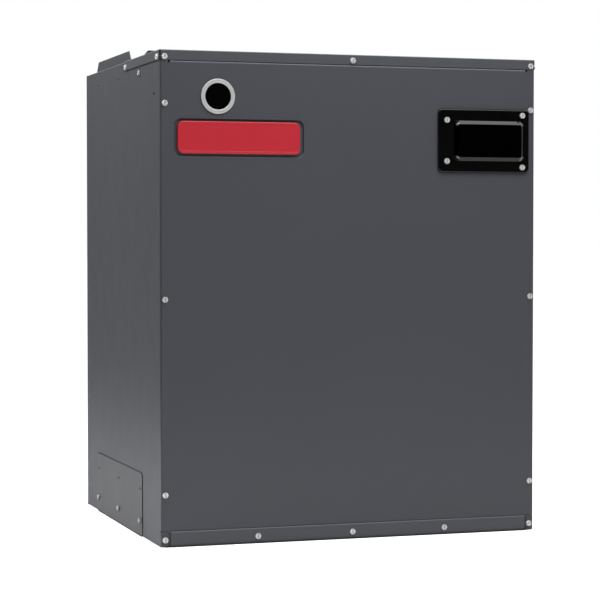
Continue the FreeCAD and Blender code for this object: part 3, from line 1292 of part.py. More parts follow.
def motor_mount_arms():
    """Three flat arms welded to the band, each drilled for its isolator's bolt."""
    arm_x = (-ARM_START - ARM_THICKNESS, -ARM_START)
    arm_z = (AXIS_Z, AXIS_Z + ARM_BOLT_RADIUS + ARM_WIDTH / 2)
    arm = block(arm_x, (AXIS_Y - ARM_WIDTH / 2, AXIS_Y + ARM_WIDTH / 2), arm_z)
    arm = arm.cut(rod(axis_point(arm_x[0]), X_AXIS, BAND_OUTER + SHAFT_PRESS_GAP, ARM_THICKNESS))
    arms = [round_axis(arm, angle - 90) for angle in ARM_ANGLES]
    return [drilled(arm, arm_spots(ARM_START), X_AXIS, BOLT_RADIUS + BOLT_PLAY) for arm in arms]


def ear_bolt_direction():
    """Way the clamp bolt runs, across the band's ears."""
    turn = math.radians(EAR_ANGLE)
    return Vector(0, math.cos(turn), math.sin(turn))


def ear_bolt_grip():
    """Width across both ears and the split between them."""
    return BAND_SPLIT + 2 * BAND_SHEET


def ear_bolt_start():
    """Point where the clamp bolt enters the first ear."""
    turn = math.radians(EAR_ANGLE)
    height = BAND_OUTER + EAR_HEIGHT / 2
    middle = axis_point(-BAND_START - BAND_WIDTH / 2) + Vector(0, -math.sin(turn), math.cos(turn)) * height
    return middle - ear_bolt_direction() * (ear_bolt_grip() / 2)


def motor_isolators():
    """Rubber posts between the arms and the housing plate."""
    inner = BOLT_RADIUS + BOLT_PLAY
    return [tube(spot, X_AXIS, inner, ISOLATOR_RADIUS, ISOLATOR_LENGTH) for spot in arm_spots(ARM_START)]


def motor_bolts():
    """Bolts through the arms and isolators, and the bolt that draws the band tight."""
    head = hex_head(BOLT_HEX_FLATS, BOLT_HEX_HEIGHT, HEX_CHAMFER)
    grip = ARM_THICKNESS + ISOLATOR_LENGTH + HOUSING_SHEET + BOLT_TAIL
    arm_bolt = joined([head, rod(Z_AXIS * -grip, Z_AXIS, BOLT_RADIUS, grip)])
    bolts = [placed(arm_bolt, spot, X_AXIS * -1) for spot in arm_spots(ARM_START + ARM_THICKNESS)]
    reach = ear_bolt_grip() + BOLT_TAIL
    clamp_bolt = joined([head, rod(Z_AXIS * -reach, Z_AXIS, BOLT_RADIUS, reach)])
    return bolts + [placed(clamp_bolt, ear_bolt_start(), ear_bolt_direction() * -1)]


# Motor harness

def cord(points, radius):
    """Round cord on straight runs joined by the largest tangent arcs that fit."""
    edges = []
    start = points[0]
    for before, corner, after in zip(points, points[1:], points[2:]):
        back = (before - corner).normalize()
        ahead = (after - corner).normalize()
        half_turn = (math.pi - back.getAngle(ahead)) / 2
        trim = 0.45 * min((before - corner).Length, (after - corner).Length)
        bend = trim / math.tan(half_turn)
        print("harness bend radius", round(bend, 1))
        inward = (back + ahead).normalize()
        middle = corner + inward * (bend / math.cos(half_turn) - bend)
        edges.append(Part.LineSegment(start, corner + back * trim).toShape())
        edges.append(Part.Arc(corner + back * trim, middle, corner + ahead * trim).toShape())
        start = corner + ahead * trim
    edges.append(Part.LineSegment(start, points[-1]).toShape())
    path = Part.Wire(edges)
    first = (points[1] - points[0]).normalize()
    section = Part.Wire(Part.makeCircle(radius, points[0], first))
    return path.makePipeShell([section], True, False)


def motor_harness():
    """Sleeved leads from the motor's socket up through the deck to the board's header."""
    header_y = BOARD_FACE - PLUG_DEPTH / 2
    header_z = BOARD_BOTTOM + PLUG_HEIGHT / 2
    sway = 6 * HARNESS_RADIUS
    lift = (DECK_BOTTOM - SOCKET_TOP) / 4
    rise = (header_z - DECK_TOP) / 3
    route = [
        Vector(HARNESS_X, HARNESS_Y, SOCKET_TOP),
        Vector(HARNESS_X, HARNESS_Y, SOCKET_TOP + lift),
        Vector(HARNESS_X - sway, HARNESS_Y - sway / 3, SOCKET_TOP + 2 * lift),
        Vector(HARNESS_X, HARNESS_Y, DECK_BOTTOM - lift),
        Vector(HARNESS_X, HARNESS_Y, DECK_TOP + rise),
        Vector(HARNESS_X, header_y, header_z - rise),
        Vector(HARNESS_X, header_y, header_z),
    ]
    return cord(route, HARNESS_RADIUS)


# Screws, one group for each thing that they hold

def screws(spots, outward, turns):
    """Washer-head screws on a face, their slots turned one after another."""
    model = washer_screw()
    return [placed(model, spot, outward, turns[index % len(turns)]) for index, spot in enumerate(spots)]


def lifted(spots, amount):
    """Places moved out from a face by a thickness that lies on it."""
    return [spot + amount for spot in spots]


UPRIGHT_SLOTS = (0.0, 6.0, -4.0, 3.0, -8.0, 2.0)
SIDE_SLOTS = (90.0, 84.0, 97.0)


def top_cover_screws():
    """Screws in the top cover's skirt and legs."""
    legs = both_sides(lambda side: side_spots(side, LEG_SCREW_ROW, TOP_SCREW_Z), SHEET)
    return screws(SKIRT_SCREW_SPOTS, FRONTWARD, UPRIGHT_SLOTS) + legs


def bottom_rail_screws():
    """Screws along the rail, and through the side panels' front returns into its tabs."""
    corners = [corner_spot(side, RAIL_SCREW_HEIGHT) + Y_AXIS * SHEET for side in (LEFT, RIGHT)]
    return screws(RAIL_SCREW_SPOTS, FRONTWARD, UPRIGHT_SLOTS) + screws(corners, FRONTWARD, (4.0, 90.0))


def both_sides(spots_of, lift):
    """Screws on both side panels, standing on a thickness."""
    group = []
    for side in (LEFT, RIGHT):
        outward = X_AXIS * side
        group += screws(lifted(spots_of(side), outward * lift), outward, SIDE_SLOTS)
    return group


def front_panel_screws():
    """Screws down both edges of the front panel."""
    return screws(panel_screw_spots(LEFT) + panel_screw_spots(RIGHT), FRONTWARD, UPRIGHT_SLOTS)


def breaker_cover_screws():
    """Screws at the corners of the breaker cover."""
    spots = lifted(breaker_screw_spots(), FRONTWARD * BREAKER_THICKNESS)
    return screws(spots, FRONTWARD, UPRIGHT_SLOTS)


def back_panel_screws():
    """Screws down both edges of the back panel."""
    return screws(back_screw_spots(LEFT) + back_screw_spots(RIGHT), Y_AXIS, UPRIGHT_SLOTS)


def housing_screws():
    """Screws that hang the housing from the deck."""
    spots = housing_screw_spots(LEFT) + housing_screw_spots(RIGHT)
    return screws(spots, Z_AXIS * -1, UPRIGHT_SLOTS)


def compartment_screws():
    """Screws that hold the deck to its supports and the blank plate to the pan."""
    deck = deck_screw_spots(LEFT) + deck_screw_spots(RIGHT)
    return screws(deck, Z_AXIS, UPRIGHT_SLOTS) + screws(heater_screw_spots(), FRONTWARD, UPRIGHT_SLOTS)


export("left_side_panel", side_panel(LEFT))
export("right_side_panel", side_panel(RIGHT))
export("back_panel", back_panel())
export("top_cover", top_cover())
export("top_header", top_header())
export("bottom_rail", bottom_rail())
export("rail_stiffener", rail_stiffener())
export("left_tie_plate", tie_plate(LEFT))
export("right_tie_plate", tie_plate(RIGHT))

export("front_panel", front_panel())
export("front_liner", front_liner())
export("sight_port_bezel", sight_port_bezel())
export("sight_port_glass", sight_port_glass())
export("badge_plate", badge_plate())
export("breaker_cover", breaker_cover())
export("breaker_cover_screws", *breaker_cover_screws())
export("front_panel_screws", *front_panel_screws())

export("left_liner", *side_liners(LEFT))
export("right_liner", *side_liners(RIGHT))
export("back_liner", *back_liners())
export("deck_supports", deck_support(LEFT), deck_support(RIGHT))
export("blower_deck", blower_deck())
export("deck_grommet", deck_grommet())
export("control_pan", control_pan())
export("heater_blank_plate", heater_blank_plate())

export("control_board", control_board())
export("board_standoffs", *[standoff(spot) for spot in standoff_spots()])
export("board_relays", *board_relays())
export("board_connectors", *board_connectors())
export("transformer_core", transformer_core())
export("transformer_coil", transformer_coil())
export("power_terminal_block", power_terminal_block())
export("power_entry_bushing", power_entry_bushing())

export("scroll_wrap", scroll_wrap())
export("left_housing_plate", housing_plate(LEFT))
export("right_housing_plate", housing_plate(RIGHT))
export("wheel_blades", *wheel_blades())
export("wheel_end_rings", *wheel_end_rings())
export("wheel_disc", wheel_disc())
export("wheel_hub", wheel_hub())
export("wheel_set_screw", wheel_set_screw())
export("motor_shaft", motor_shaft())
export("motor_rotor", motor_rotor())
export("motor_stator", motor_stator())
export("motor_shell", motor_shell())
export("motor_end_bell", motor_end_bell())
export("motor_control_module", motor_control_module())
export("motor_bearings", *motor_bearings())
export("motor_band", motor_band())
export("motor_mount_arms", *motor_mount_arms())
export("motor_isolators", *motor_isolators())
export("motor_bolts", *motor_bolts())
export("motor_harness", motor_harness())

export("top_cover_screws", *top_cover_screws())
export("bottom_rail_screws", *bottom_rail_screws())
export("tie_plate_screws", *both_sides(lambda side: side_spots(side, HOLE_ROW, TIE_SCREW_Z), SHEET))
export("side_panel_screws", *both_sides(lambda side: side_spots(side, HOLE_ROW[:1], UPPER_ROW_Z), 0))
export("back_panel_screws", *back_panel_screws())
export("housing_screws", *housing_screws())
export("compartment_screws", *compartment_screws())
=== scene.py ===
import math

import bmesh
import bpy
from mathutils import Matrix, Vector, noise


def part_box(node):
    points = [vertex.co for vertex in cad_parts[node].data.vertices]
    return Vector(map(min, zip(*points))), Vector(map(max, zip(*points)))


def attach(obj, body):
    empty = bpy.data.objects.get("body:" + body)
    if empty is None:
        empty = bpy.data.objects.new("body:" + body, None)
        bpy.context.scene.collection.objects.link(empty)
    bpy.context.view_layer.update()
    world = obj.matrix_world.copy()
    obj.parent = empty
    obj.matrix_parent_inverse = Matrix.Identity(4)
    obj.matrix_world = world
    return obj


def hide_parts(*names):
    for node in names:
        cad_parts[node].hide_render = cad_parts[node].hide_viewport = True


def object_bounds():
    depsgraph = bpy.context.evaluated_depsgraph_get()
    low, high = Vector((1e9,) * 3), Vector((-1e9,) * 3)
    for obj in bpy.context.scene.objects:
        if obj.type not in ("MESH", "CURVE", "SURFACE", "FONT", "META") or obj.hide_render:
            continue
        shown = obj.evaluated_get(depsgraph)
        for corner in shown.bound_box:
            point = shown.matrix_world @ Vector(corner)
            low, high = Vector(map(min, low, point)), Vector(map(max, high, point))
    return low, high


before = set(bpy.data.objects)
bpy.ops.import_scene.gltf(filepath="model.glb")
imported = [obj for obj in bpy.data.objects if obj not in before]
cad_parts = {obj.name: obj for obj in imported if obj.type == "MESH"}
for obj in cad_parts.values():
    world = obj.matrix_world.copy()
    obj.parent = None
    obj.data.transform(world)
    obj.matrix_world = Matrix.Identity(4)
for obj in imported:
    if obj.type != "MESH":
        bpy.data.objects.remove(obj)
cad_low, cad_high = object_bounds()


# Cabinet sides, back panel, front header and the stiffener behind the rail.
# Steel sheet folded along its edges, powder-coated slate grey inside and out.
# The coat is satin, with a fine orange peel over sheet that is never quite flat.

FRONT = (0.0, -1.0, 0.0)
UP = (0.0, 0.0, 1.0)
SIDE_SLATE = (0.0513, 0.0544, 0.0627, 1.0)
COAT_SPECULAR = 0.3
RUB_FINENESS = 5.0
SHEET_WAVE = 0.0003
SHEET_WAVE_SCALE = 2.6
SEAM_REACH = 0.0035
SEAM_SHARE = 0.96
SIDE_FRONT_SHARE = 0.15
# painted shade, laid in seams, on faces turned down and along edges in shadow
PAINTED_SHADE = (0.005, 0.005, 0.006, 1.0)
SIDE_SEAMS = (0.995, 0.90)
SIDE_FOLDS = (0.998, 0.97)
# painted highlight: how many times paler the crests of folds are painted
SIDE_CREST_HIGHLIGHT = 2.9
FRONT_TURN = (0.05, 0.40)
CREST_LIFT = (0.02, 0.25)
HEM_DROP = (-0.10, -0.45)
COLLAR_FOOT = 0.755


def add_node(tree, kind, inputs=None, **settings):
    """Add a shader node; each input is a plain value, or a socket to link from."""
    made = tree.nodes.new("ShaderNode" + kind)
    for name, value in settings.items():
        setattr(made, name, value)
    for key, value in (inputs or {}).items():
        if isinstance(value, bpy.types.NodeSocket):
            tree.links.new(value, made.inputs[key])
        else:
            made.inputs[key].default_value = value
    return made


def math_node(tree, operation, first, second=0.0):
    """Add a Math node and give back its value."""
    return add_node(tree, "Math", {0: first, 1: second}, operation=operation).outputs[0]


def product(tree, first, *others):
    """Multiply values, such as masks that all have to hold."""
    for other in others:
        first = math_node(tree, "MULTIPLY", first, other)
    return first


def ramp(tree, value, limits, ends=(0.0, 1.0), **settings):
    """Turn a value into one that goes from one end to the other between two limits."""
    inputs = {"Value": value, "From Min": limits[0], "From Max": limits[1],
              "To Min": ends[0], "To Max": ends[1]}
    return add_node(tree, "MapRange", inputs, **settings).outputs[0]


def object_point(tree):
    """Give the socket with the point's place in the object's own frame."""
    return add_node(tree, "TexCoord").outputs["Object"]


def dot_product(tree, vector, direction):
    """Give how far a vector reaches along a direction."""
    return add_node(tree, "VectorMath", {0: vector, 1: direction}, operation="DOT_PRODUCT").outputs["Value"]


def along(tree, direction):
    """Give the distance of a point along a direction."""
    return dot_product(tree, object_point(tree), direction)


def turned_to(tree, direction):
    """Give how squarely the surface is turned to a direction, from -1 to 1."""
    return dot_product(tree, add_node(tree, "TexCoord").outputs["Normal"], direction)


def noise_at(tree, point, scale, detail):
    """Add a noise at a point and give back its value, about 0.3 to 0.7."""
    return add_node(tree, "TexNoise", {"Vector": point, "Scale": scale, "Detail": detail}).outputs[0]


def centred_noise(tree, point, scale, detail):
    """Add a noise at a point that swings evenly about 0."""
    value = noise_at(tree, point, scale, detail)
    return product(tree, math_node(tree, "SUBTRACT", value, 0.5), 2.0)


def noise_value(tree, scale, detail, stretch=(1.0, 1.0, 1.0)):
    """Add a noise on Object coordinates, finer along a direction that is stretched."""
    place = add_node(tree, "Mapping", {"Vector": object_point(tree), "Scale": stretch})
    return noise_at(tree, place.outputs[0], scale, detail)


def start_effect(name, inputs, outputs):
    """Start a shader node group; give back its tree, its inputs and its outputs by name."""
    tree = bpy.data.node_groups.new(name, "ShaderNodeTree")
    for label, kind in inputs.items():
        tree.interface.new_socket(name=label, in_out="INPUT", socket_type="NodeSocket" + kind)
    for label, kind in outputs.items():
        tree.interface.new_socket(name=label, in_out="OUTPUT", socket_type="NodeSocket" + kind)
    taken = tree.nodes.new("NodeGroupInput").outputs
    given = tree.nodes.new("NodeGroupOutput").inputs
    return tree, taken, given


# effect: tone that drifts over the surface, rubbed patches of gloss, and a fine grain
surface_grain, taken, given = start_effect(
    "surface_grain",
    {"Colour": "Color", "Mottle": "Float", "Mottle Scale": "Float", "Roughness": "Float",
     "Roughness Spread": "Float", "Grain Scale": "Float", "Grain Depth": "Float"},
    {"Colour": "Color", "Roughness": "Float", "Height": "Float"})
point = object_point(surface_grain)
drift = centred_noise(surface_grain, point, taken["Mottle Scale"], detail=4.0)
gain = math_node(surface_grain, "ADD", product(surface_grain, drift, taken["Mottle"]), 1.0)
toned = add_node(surface_grain, "VectorMath", {0: taken["Colour"], "Scale": gain}, operation="SCALE")
rub_scale = product(surface_grain, taken["Mottle Scale"], RUB_FINENESS)
rub = centred_noise(surface_grain, point, rub_scale, detail=6.0)
rub = product(surface_grain, rub, taken["Roughness Spread"])
grain = noise_at(surface_grain, point, taken["Grain Scale"], detail=2.0)
surface_grain.links.new(toned.outputs[0], given["Colour"])
surface_grain.links.new(math_node(surface_grain, "ADD", taken["Roughness"], rub), given["Roughness"])
surface_grain.links.new(product(surface_grain, grain, taken["Grain Depth"]), given["Height"])


def grained_finish(name, colour, mottle, mottle_scale, roughness, spread,
                   grain_scale, grain_depth, metallic=0.0):
    """Make a material whose tone, gloss and fine relief come from the surface grain."""
    finish = bpy.data.materials.new(name)
    finish.use_nodes = True
    tree = finish.node_tree
    sockets = {"Colour": colour, "Mottle": mottle, "Mottle Scale": mottle_scale, "Roughness": roughness,
               "Roughness Spread": spread, "Grain Scale": grain_scale, "Grain Depth": grain_depth}
    effect = add_node(tree, "Group", sockets, node_tree=surface_grain).outputs
    relief = add_node(tree, "Bump", {"Strength": 1.0, "Distance": 1.0, "Height": effect["Height"]})
    relief.name = "Relief"
    shader = tree.nodes["Principled BSDF"]
    shader.inputs["Metallic"].default_value = metallic
    tree.links.new(effect["Colour"], shader.inputs["Base Color"])
    tree.links.new(effect["Roughness"], shader.inputs["Roughness"])
    tree.links.new(relief.outputs["Normal"], shader.inputs["Normal"])
    return finish


def shader_inputs(finish):
    """Give the sockets of a material's shader."""
    return finish.node_tree.nodes["Principled BSDF"].inputs


def add_relief(finish, height):
    """Add a height in metres to a material's relief."""
    tree = finish.node_tree
    socket = tree.nodes["Relief"].inputs["Height"]
    tree.links.new(math_node(tree, "ADD", socket.links[0].from_socket, height), socket)


def layer_colour(finish, mask, colour):
    """Lay a colour over a material's own colour where the mask is 1."""
    tree = finish.node_tree
    socket = shader_inputs(finish)["Base Color"]
    # a Mix node's colours are its inputs 6 and 7 and its output 2
    mixed = add_node(tree, "Mix", {0: mask, 6: socket.links[0].from_socket, 7: colour}, data_type="RGBA")
    tree.links.new(mixed.outputs[2], socket)


def layer_roughness(finish, mask, roughness):
    """Lay a roughness over a material's own roughness where the mask is 1."""
    tree = finish.node_tree
    socket = shader_inputs(finish)["Roughness"]
    # a Mix node's plain values are its inputs 2 and 3 and its output 0
    mixed = add_node(tree, "Mix", {0: mask, 2: socket.links[0].from_socket, 3: roughness}, data_type="FLOAT")
    tree.links.new(mixed.outputs[0], socket)


def toned_colour(colour, gain):
    """Give a colour made paler, or darker where the gain is under 1."""
    return (*(gain * tone for tone in colour[:3]), 1.0)


def dress(finish, *names):
    """Give CAD nodes a finish."""
    for name in names:
        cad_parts[name].material_slots[0].material = finish


# effect: 1 where a surface is hemmed in by its neighbours, in seams and round screw heads, where painted
# shade goes
seam_shade, taken, given = start_effect(
    "seam_shade", {"Reach": "Float", "Open": "Float", "Shut": "Float"}, {"Mask": "Float"})
clear_share = add_node(seam_shade, "AmbientOcclusion", {"Distance": taken["Reach"]}, samples=8).outputs["AO"]
seam_shade.links.new(ramp(seam_shade, clear_share, (taken["Open"], taken["Shut"])), given["Mask"])


def paint_seam_shade(finish, reach, limits, share, front_share, colour):
    """Lay painted shade on a finish where it is hemmed in, with a share of its own on faces to the front."""
    tree = finish.node_tree
    sockets = {"Reach": reach, "Open": limits[0], "Shut": limits[1]}
    mask = add_node(tree, "Group", sockets, node_tree=seam_shade).outputs[0]
    below = math_node(tree, "LESS_THAN", along(tree, UP), COLLAR_FOOT)
    kept = ramp(tree, turned_to(tree, FRONT), FRONT_TURN, (share, front_share))
    layer_colour(finish, product(tree, mask, kept, below), colour)


# effect: crests of folds that face up, which take a painted highlight, and faces turned down, which take
# painted shade
fold_shade, taken, given = start_effect(
    "fold_shade", {"Square": "Float", "Bent": "Float"}, {"Crest": "Float", "Hem": "Float"})
turn = add_node(fold_shade, "SeparateXYZ", {0: add_node(fold_shade, "TexCoord").outputs["Normal"]}).outputs
squareness = 0.0
for axis in "XYZ":
    squareness = math_node(fold_shade, "MAXIMUM", math_node(fold_shade, "ABSOLUTE", turn[axis]), squareness)
bent = ramp(fold_shade, squareness, (taken["Square"], taken["Bent"]))
lifted = ramp(fold_shade, turn["Z"], CREST_LIFT)
fold_shade.links.new(product(fold_shade, bent, lifted), given["Crest"])
fold_shade.links.new(ramp(fold_shade, turn["Z"], HEM_DROP), given["Hem"])


def slate_coat(name, colour, seam_limits, fold_limits, pale, front_share=SEAM_SHARE):
    """Powder coat: the grain's peel and tone, the slow waves of thin sheet, painted shade in seams and on
    faces turned down, and painted highlights on fold crests.
    """
    finish = grained_finish(name, colour, mottle=0.04, mottle_scale=4.0, roughness=0.46, spread=0.05,
                            grain_scale=620.0, grain_depth=0.000008)
    shader_inputs(finish)["Specular IOR Level"].default_value = COAT_SPECULAR
    tree = finish.node_tree
    add_relief(finish, product(tree, noise_value(tree, SHEET_WAVE_SCALE, detail=1.0), SHEET_WAVE))
    paint_seam_shade(finish, SEAM_REACH, seam_limits, SEAM_SHARE, front_share, PAINTED_SHADE)
    sockets = {"Square": fold_limits[0], "Bent": fold_limits[1]}
    folds = add_node(tree, "Group", sockets, node_tree=fold_shade).outputs
    layer_colour(finish, product(tree, folds["Hem"], SEAM_SHARE), PAINTED_SHADE)
    layer_colour(finish, folds["Crest"], toned_colour(colour, pale))
    return finish


slate_paint = slate_coat("slate_powder_coat", SIDE_SLATE, SIDE_SEAMS, SIDE_FOLDS, SIDE_CREST_HIGHLIGHT,
                         front_share=SIDE_FRONT_SHARE)
dress(slate_paint, "left_side_panel", "right_side_panel", "back_panel", "top_header", "rail_stiffener")


# Screws and bolts all over the unit.
# Zinc-plated steel, hex washer heads with a slot, driven through the sheets.
# The plating is pale and a little cloudy, and dulls towards grey in patches.

ZINC = (0.78, 0.78, 0.77, 1.0)
SHADED_ZINC = (0.52, 0.53, 0.53, 1.0)
CLOUD_TONE = 0.70
CLOUD_SCALE = 420.0
CLOUD_SHARE = 0.6
# painted shade in slots and round the heads
SLOT_SHADE = (0.10, 0.10, 0.10, 1.0)
SLOT_REACH = 0.0018
SLOT_SHADE_SHARE = 0.85
SCREW_SEAMS = (0.97, 0.35)


def zinc_plating(name, colour):
    """Zinc plate: cloudy patches over the surface grain, and painted shade in the slots and at the foot of
    the heads.
    """
    finish = grained_finish(name, colour, mottle=0.10, mottle_scale=160.0, roughness=0.50, spread=0.10,
                            grain_scale=2200.0, grain_depth=0.000004, metallic=0.65)
    tree = finish.node_tree
    cloud = product(tree, noise_value(tree, CLOUD_SCALE, detail=5.0), CLOUD_SHARE)
    layer_colour(finish, cloud, toned_colour(colour, CLOUD_TONE))
    paint_seam_shade(finish, SLOT_REACH, SCREW_SEAMS, SLOT_SHADE_SHARE, SLOT_SHADE_SHARE, SLOT_SHADE)
    return finish


zinc_plate = zinc_plating("zinc_plate", ZINC)
dress(zinc_plate, "front_panel_screws", "top_cover_screws", "bottom_rail_screws", "breaker_cover_screws",
      "back_panel_screws", "housing_screws", "compartment_screws", "motor_bolts", "wheel_set_screw")
# painted shade: a darker copy of the zinc for the screws on the sides, which get less light
shaded_zinc = zinc_plating("shaded_zinc", SHADED_ZINC)
dress(shaded_zinc, "tie_plate_screws", "side_panel_screws")


# Deck, its supports, the control pan, the heater blank and the fan housing.
# Galvanised steel sheet, folded and screwed together inside the cabinet.
# Its zinc shows as flat crystals, each a shade lighter or darker than the next.

GALVANISED = (0.56, 0.575, 0.585, 1.0)
GALVANISED_WAVE = 0.00015
GALVANISED_WAVE_SCALE = 5.2
CRYSTAL_DARK = (0.36, 0.375, 0.39, 1.0)
CRYSTAL_SCALE = 75.0
CRYSTAL_WANDER = 0.006
CRYSTAL_ROUGHNESS = 0.52
CRYSTAL_ROUGH_SHARE = 0.5
FERN_FINENESS = 9.0

# effect: the tone of zinc crystals, one shade for each, with feathered streaks
spangle, taken, given = start_effect("spangle", {"Scale": "Float"}, {"Tone": "Float", "Streak": "Float"})
point = object_point(spangle)
wander = add_node(spangle, "TexNoise", {"Vector": point, "Scale": taken["Scale"], "Detail": 3.0})
shift = add_node(spangle, "VectorMath", {0: wander.outputs["Color"], "Scale": CRYSTAL_WANDER},
                 operation="SCALE").outputs[0]
moved = add_node(spangle, "VectorMath", {0: point, 1: shift}, operation="ADD").outputs[0]
cells = add_node(spangle, "TexVoronoi", {"Vector": moved, "Scale": taken["Scale"]})
shade = add_node(spangle, "SeparateColor", {0: cells.outputs["Color"]})
fern = noise_at(spangle, moved, product(spangle, taken["Scale"], FERN_FINENESS), detail=4.0)
spangle.links.new(shade.outputs[0], given["Tone"])
spangle.links.new(fern, given["Streak"])


def galvanised_sheet(name, crystal_scale):
    """Galvanised sheet: crystals in its colour and gloss over the surface grain."""
    finish = grained_finish(name, GALVANISED, mottle=0.08, mottle_scale=6.0, roughness=0.40, spread=0.06,
                            grain_scale=900.0, grain_depth=0.000006, metallic=1.0)
    tree = finish.node_tree
    crystals = add_node(tree, "Group", {"Scale": crystal_scale}, node_tree=spangle).outputs
    layer_colour(finish, product(tree, crystals["Tone"], crystals["Streak"]), CRYSTAL_DARK)
    layer_roughness(finish, product(tree, crystals["Tone"], CRYSTAL_ROUGH_SHARE), CRYSTAL_ROUGHNESS)
    add_relief(finish, product(tree, noise_value(tree, GALVANISED_WAVE_SCALE, detail=1.0), GALVANISED_WAVE))
    return finish


galvanised = galvanised_sheet("galvanised_sheet", CRYSTAL_SCALE)
dress(galvanised, "deck_supports", "blower_deck", "control_pan", "heater_blank_plate",
      "scroll_wrap", "left_housing_plate", "right_housing_plate")


# Liners on the sides, the back and the inside of the access panel.
# Glass-fibre mats faced with foil over a scrim of threads, open at the edges, backed in black.
# Each mat hangs on pins, and a pressed washer on each pin dimples it.

FOIL = (0.74, 0.75, 0.77, 1.0)
FIBRE = (0.62, 0.50, 0.27, 1.0)
FIBRE_PALE = (0.80, 0.70, 0.46, 1.0)
STRAND_SCALE = 300.0
STRAND_STRETCH = (1.0, 1.0, 6.0)
BACKING = (0.008, 0.008, 0.008, 1.0)
SCRIM_DIRECTIONS = ((0.7071, 0.7071, 0.7071), (0.7071, 0.7071, -0.7071))
SCRIM_PITCH = 0.0085
SCRIM_DEPTH = 0.00012
SCRIM_SHARPNESS = 14.0
CREASE_SCALE = 38.0
CREASE_DEPTH = 0.0012
MAT_STEP = 0.009
MAT_RIM = 0.0035
RIM_ANGLE = 0.9
FOIL_TURN = 0.2
BACKING_TURN = -0.5
PIN_SPACING = 0.19
DIMPLE_DEPTH = 0.0045
DIMPLE_SPREAD = 0.026
PUCKER_DEPTH = 0.0009
PUCKER_SCALE = 22.0
WASHER_RADIUS = 0.015
WASHER_THICKNESS = 0.0011
WASHER_TIP = 0.88
PIN_RADIUS = 0.0013
PIN_STAND = 0.0035
PIN_TIP = 0.6

# effect: parallel ridges, from 0 in the grooves to 1 on the crests
ridge_lines, taken, given = start_effect(
    "ridge_lines", {"Distance": "Float", "Pitch": "Float"}, {"Height": "Float"})
turns = math_node(ridge_lines, "DIVIDE", taken["Distance"], taken["Pitch"])
swing = math_node(ridge_lines, "COSINE", product(ridge_lines, turns, 2.0 * math.pi))
height = product(ridge_lines, math_node(ridge_lines, "ADD", swing, 1.0), 0.5)
ridge_lines.links.new(height, given["Height"])


def ridges(tree, distance, pitch):
    """Place the ridge effect and give back its height."""
    return add_node(tree, "Group", {"Distance": distance, "Pitch": pitch}, node_tree=ridge_lines).outputs[0]


foil_facing = grained_finish("foil_facing", FOIL, mottle=0.06, mottle_scale=14.0, roughness=0.30, spread=0.08,
                             grain_scale=260.0, grain_depth=0.00018, metallic=1.0)
tree = foil_facing.node_tree
for direction in SCRIM_DIRECTIONS:
    thread = math_node(tree, "POWER", ridges(tree, along(tree, direction), SCRIM_PITCH), SCRIM_SHARPNESS)
    add_relief(foil_facing, product(tree, thread, SCRIM_DEPTH))
add_relief(foil_facing, product(tree, noise_value(tree, CREASE_SCALE, detail=6.0), CREASE_DEPTH))
fibre_edge = grained_finish("glass_fibre", FIBRE, mottle=0.25, mottle_scale=60.0, roughness=0.93, spread=0.04,
                            grain_scale=1500.0, grain_depth=0.0004)
strands = noise_value(fibre_edge.node_tree, STRAND_SCALE, detail=4.0, stretch=STRAND_STRETCH)
layer_colour(fibre_edge, strands, FIBRE_PALE)
mat_backing = grained_finish("mat_backing", BACKING, mottle=0.10, mottle_scale=60.0, roughness=0.90,
                             spread=0.05, grain_scale=900.0, grain_depth=0.0001)


def add_piece(name, shape, finishes, body, smooth_angle=35.0):
    """Make a bmesh into a piece that rides on a body and takes a slot's finish."""
    mesh = bpy.data.meshes.new(name)
    shape.to_mesh(mesh)
    shape.free()
    for finish in finishes:
        mesh.materials.append(finish)
    mesh.polygons.foreach_set("use_smooth", [True] * len(mesh.polygons))
    mesh.set_sharp_from_angle(angle=math.radians(smooth_angle))
    piece = bpy.data.objects.new(name, mesh)
    bpy.context.scene.collection.objects.link(piece)
    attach(piece, body)
    return piece


def ease_edges(shape, edges, width, segments=2):
    """Round over some edges of a shape."""
    bmesh.ops.bevel(shape, geom=edges, offset=width, affect="EDGES", segments=segments, profile=0.5,
                    material=-1)


def wall_place(low, high, facing):
    """Give the turn and place of an upright slab's back, and its width, height and thickness."""
    up = Vector(UP)
    across = up.cross(facing)
    size = high - low
    thickness = abs(size.dot(facing))
    place = Matrix((across, up, facing)).transposed().to_4x4()
    place.translation = (low + high) / 2.0 - facing * thickness / 2.0
    return place, abs(size.dot(across)), size.z, thickness


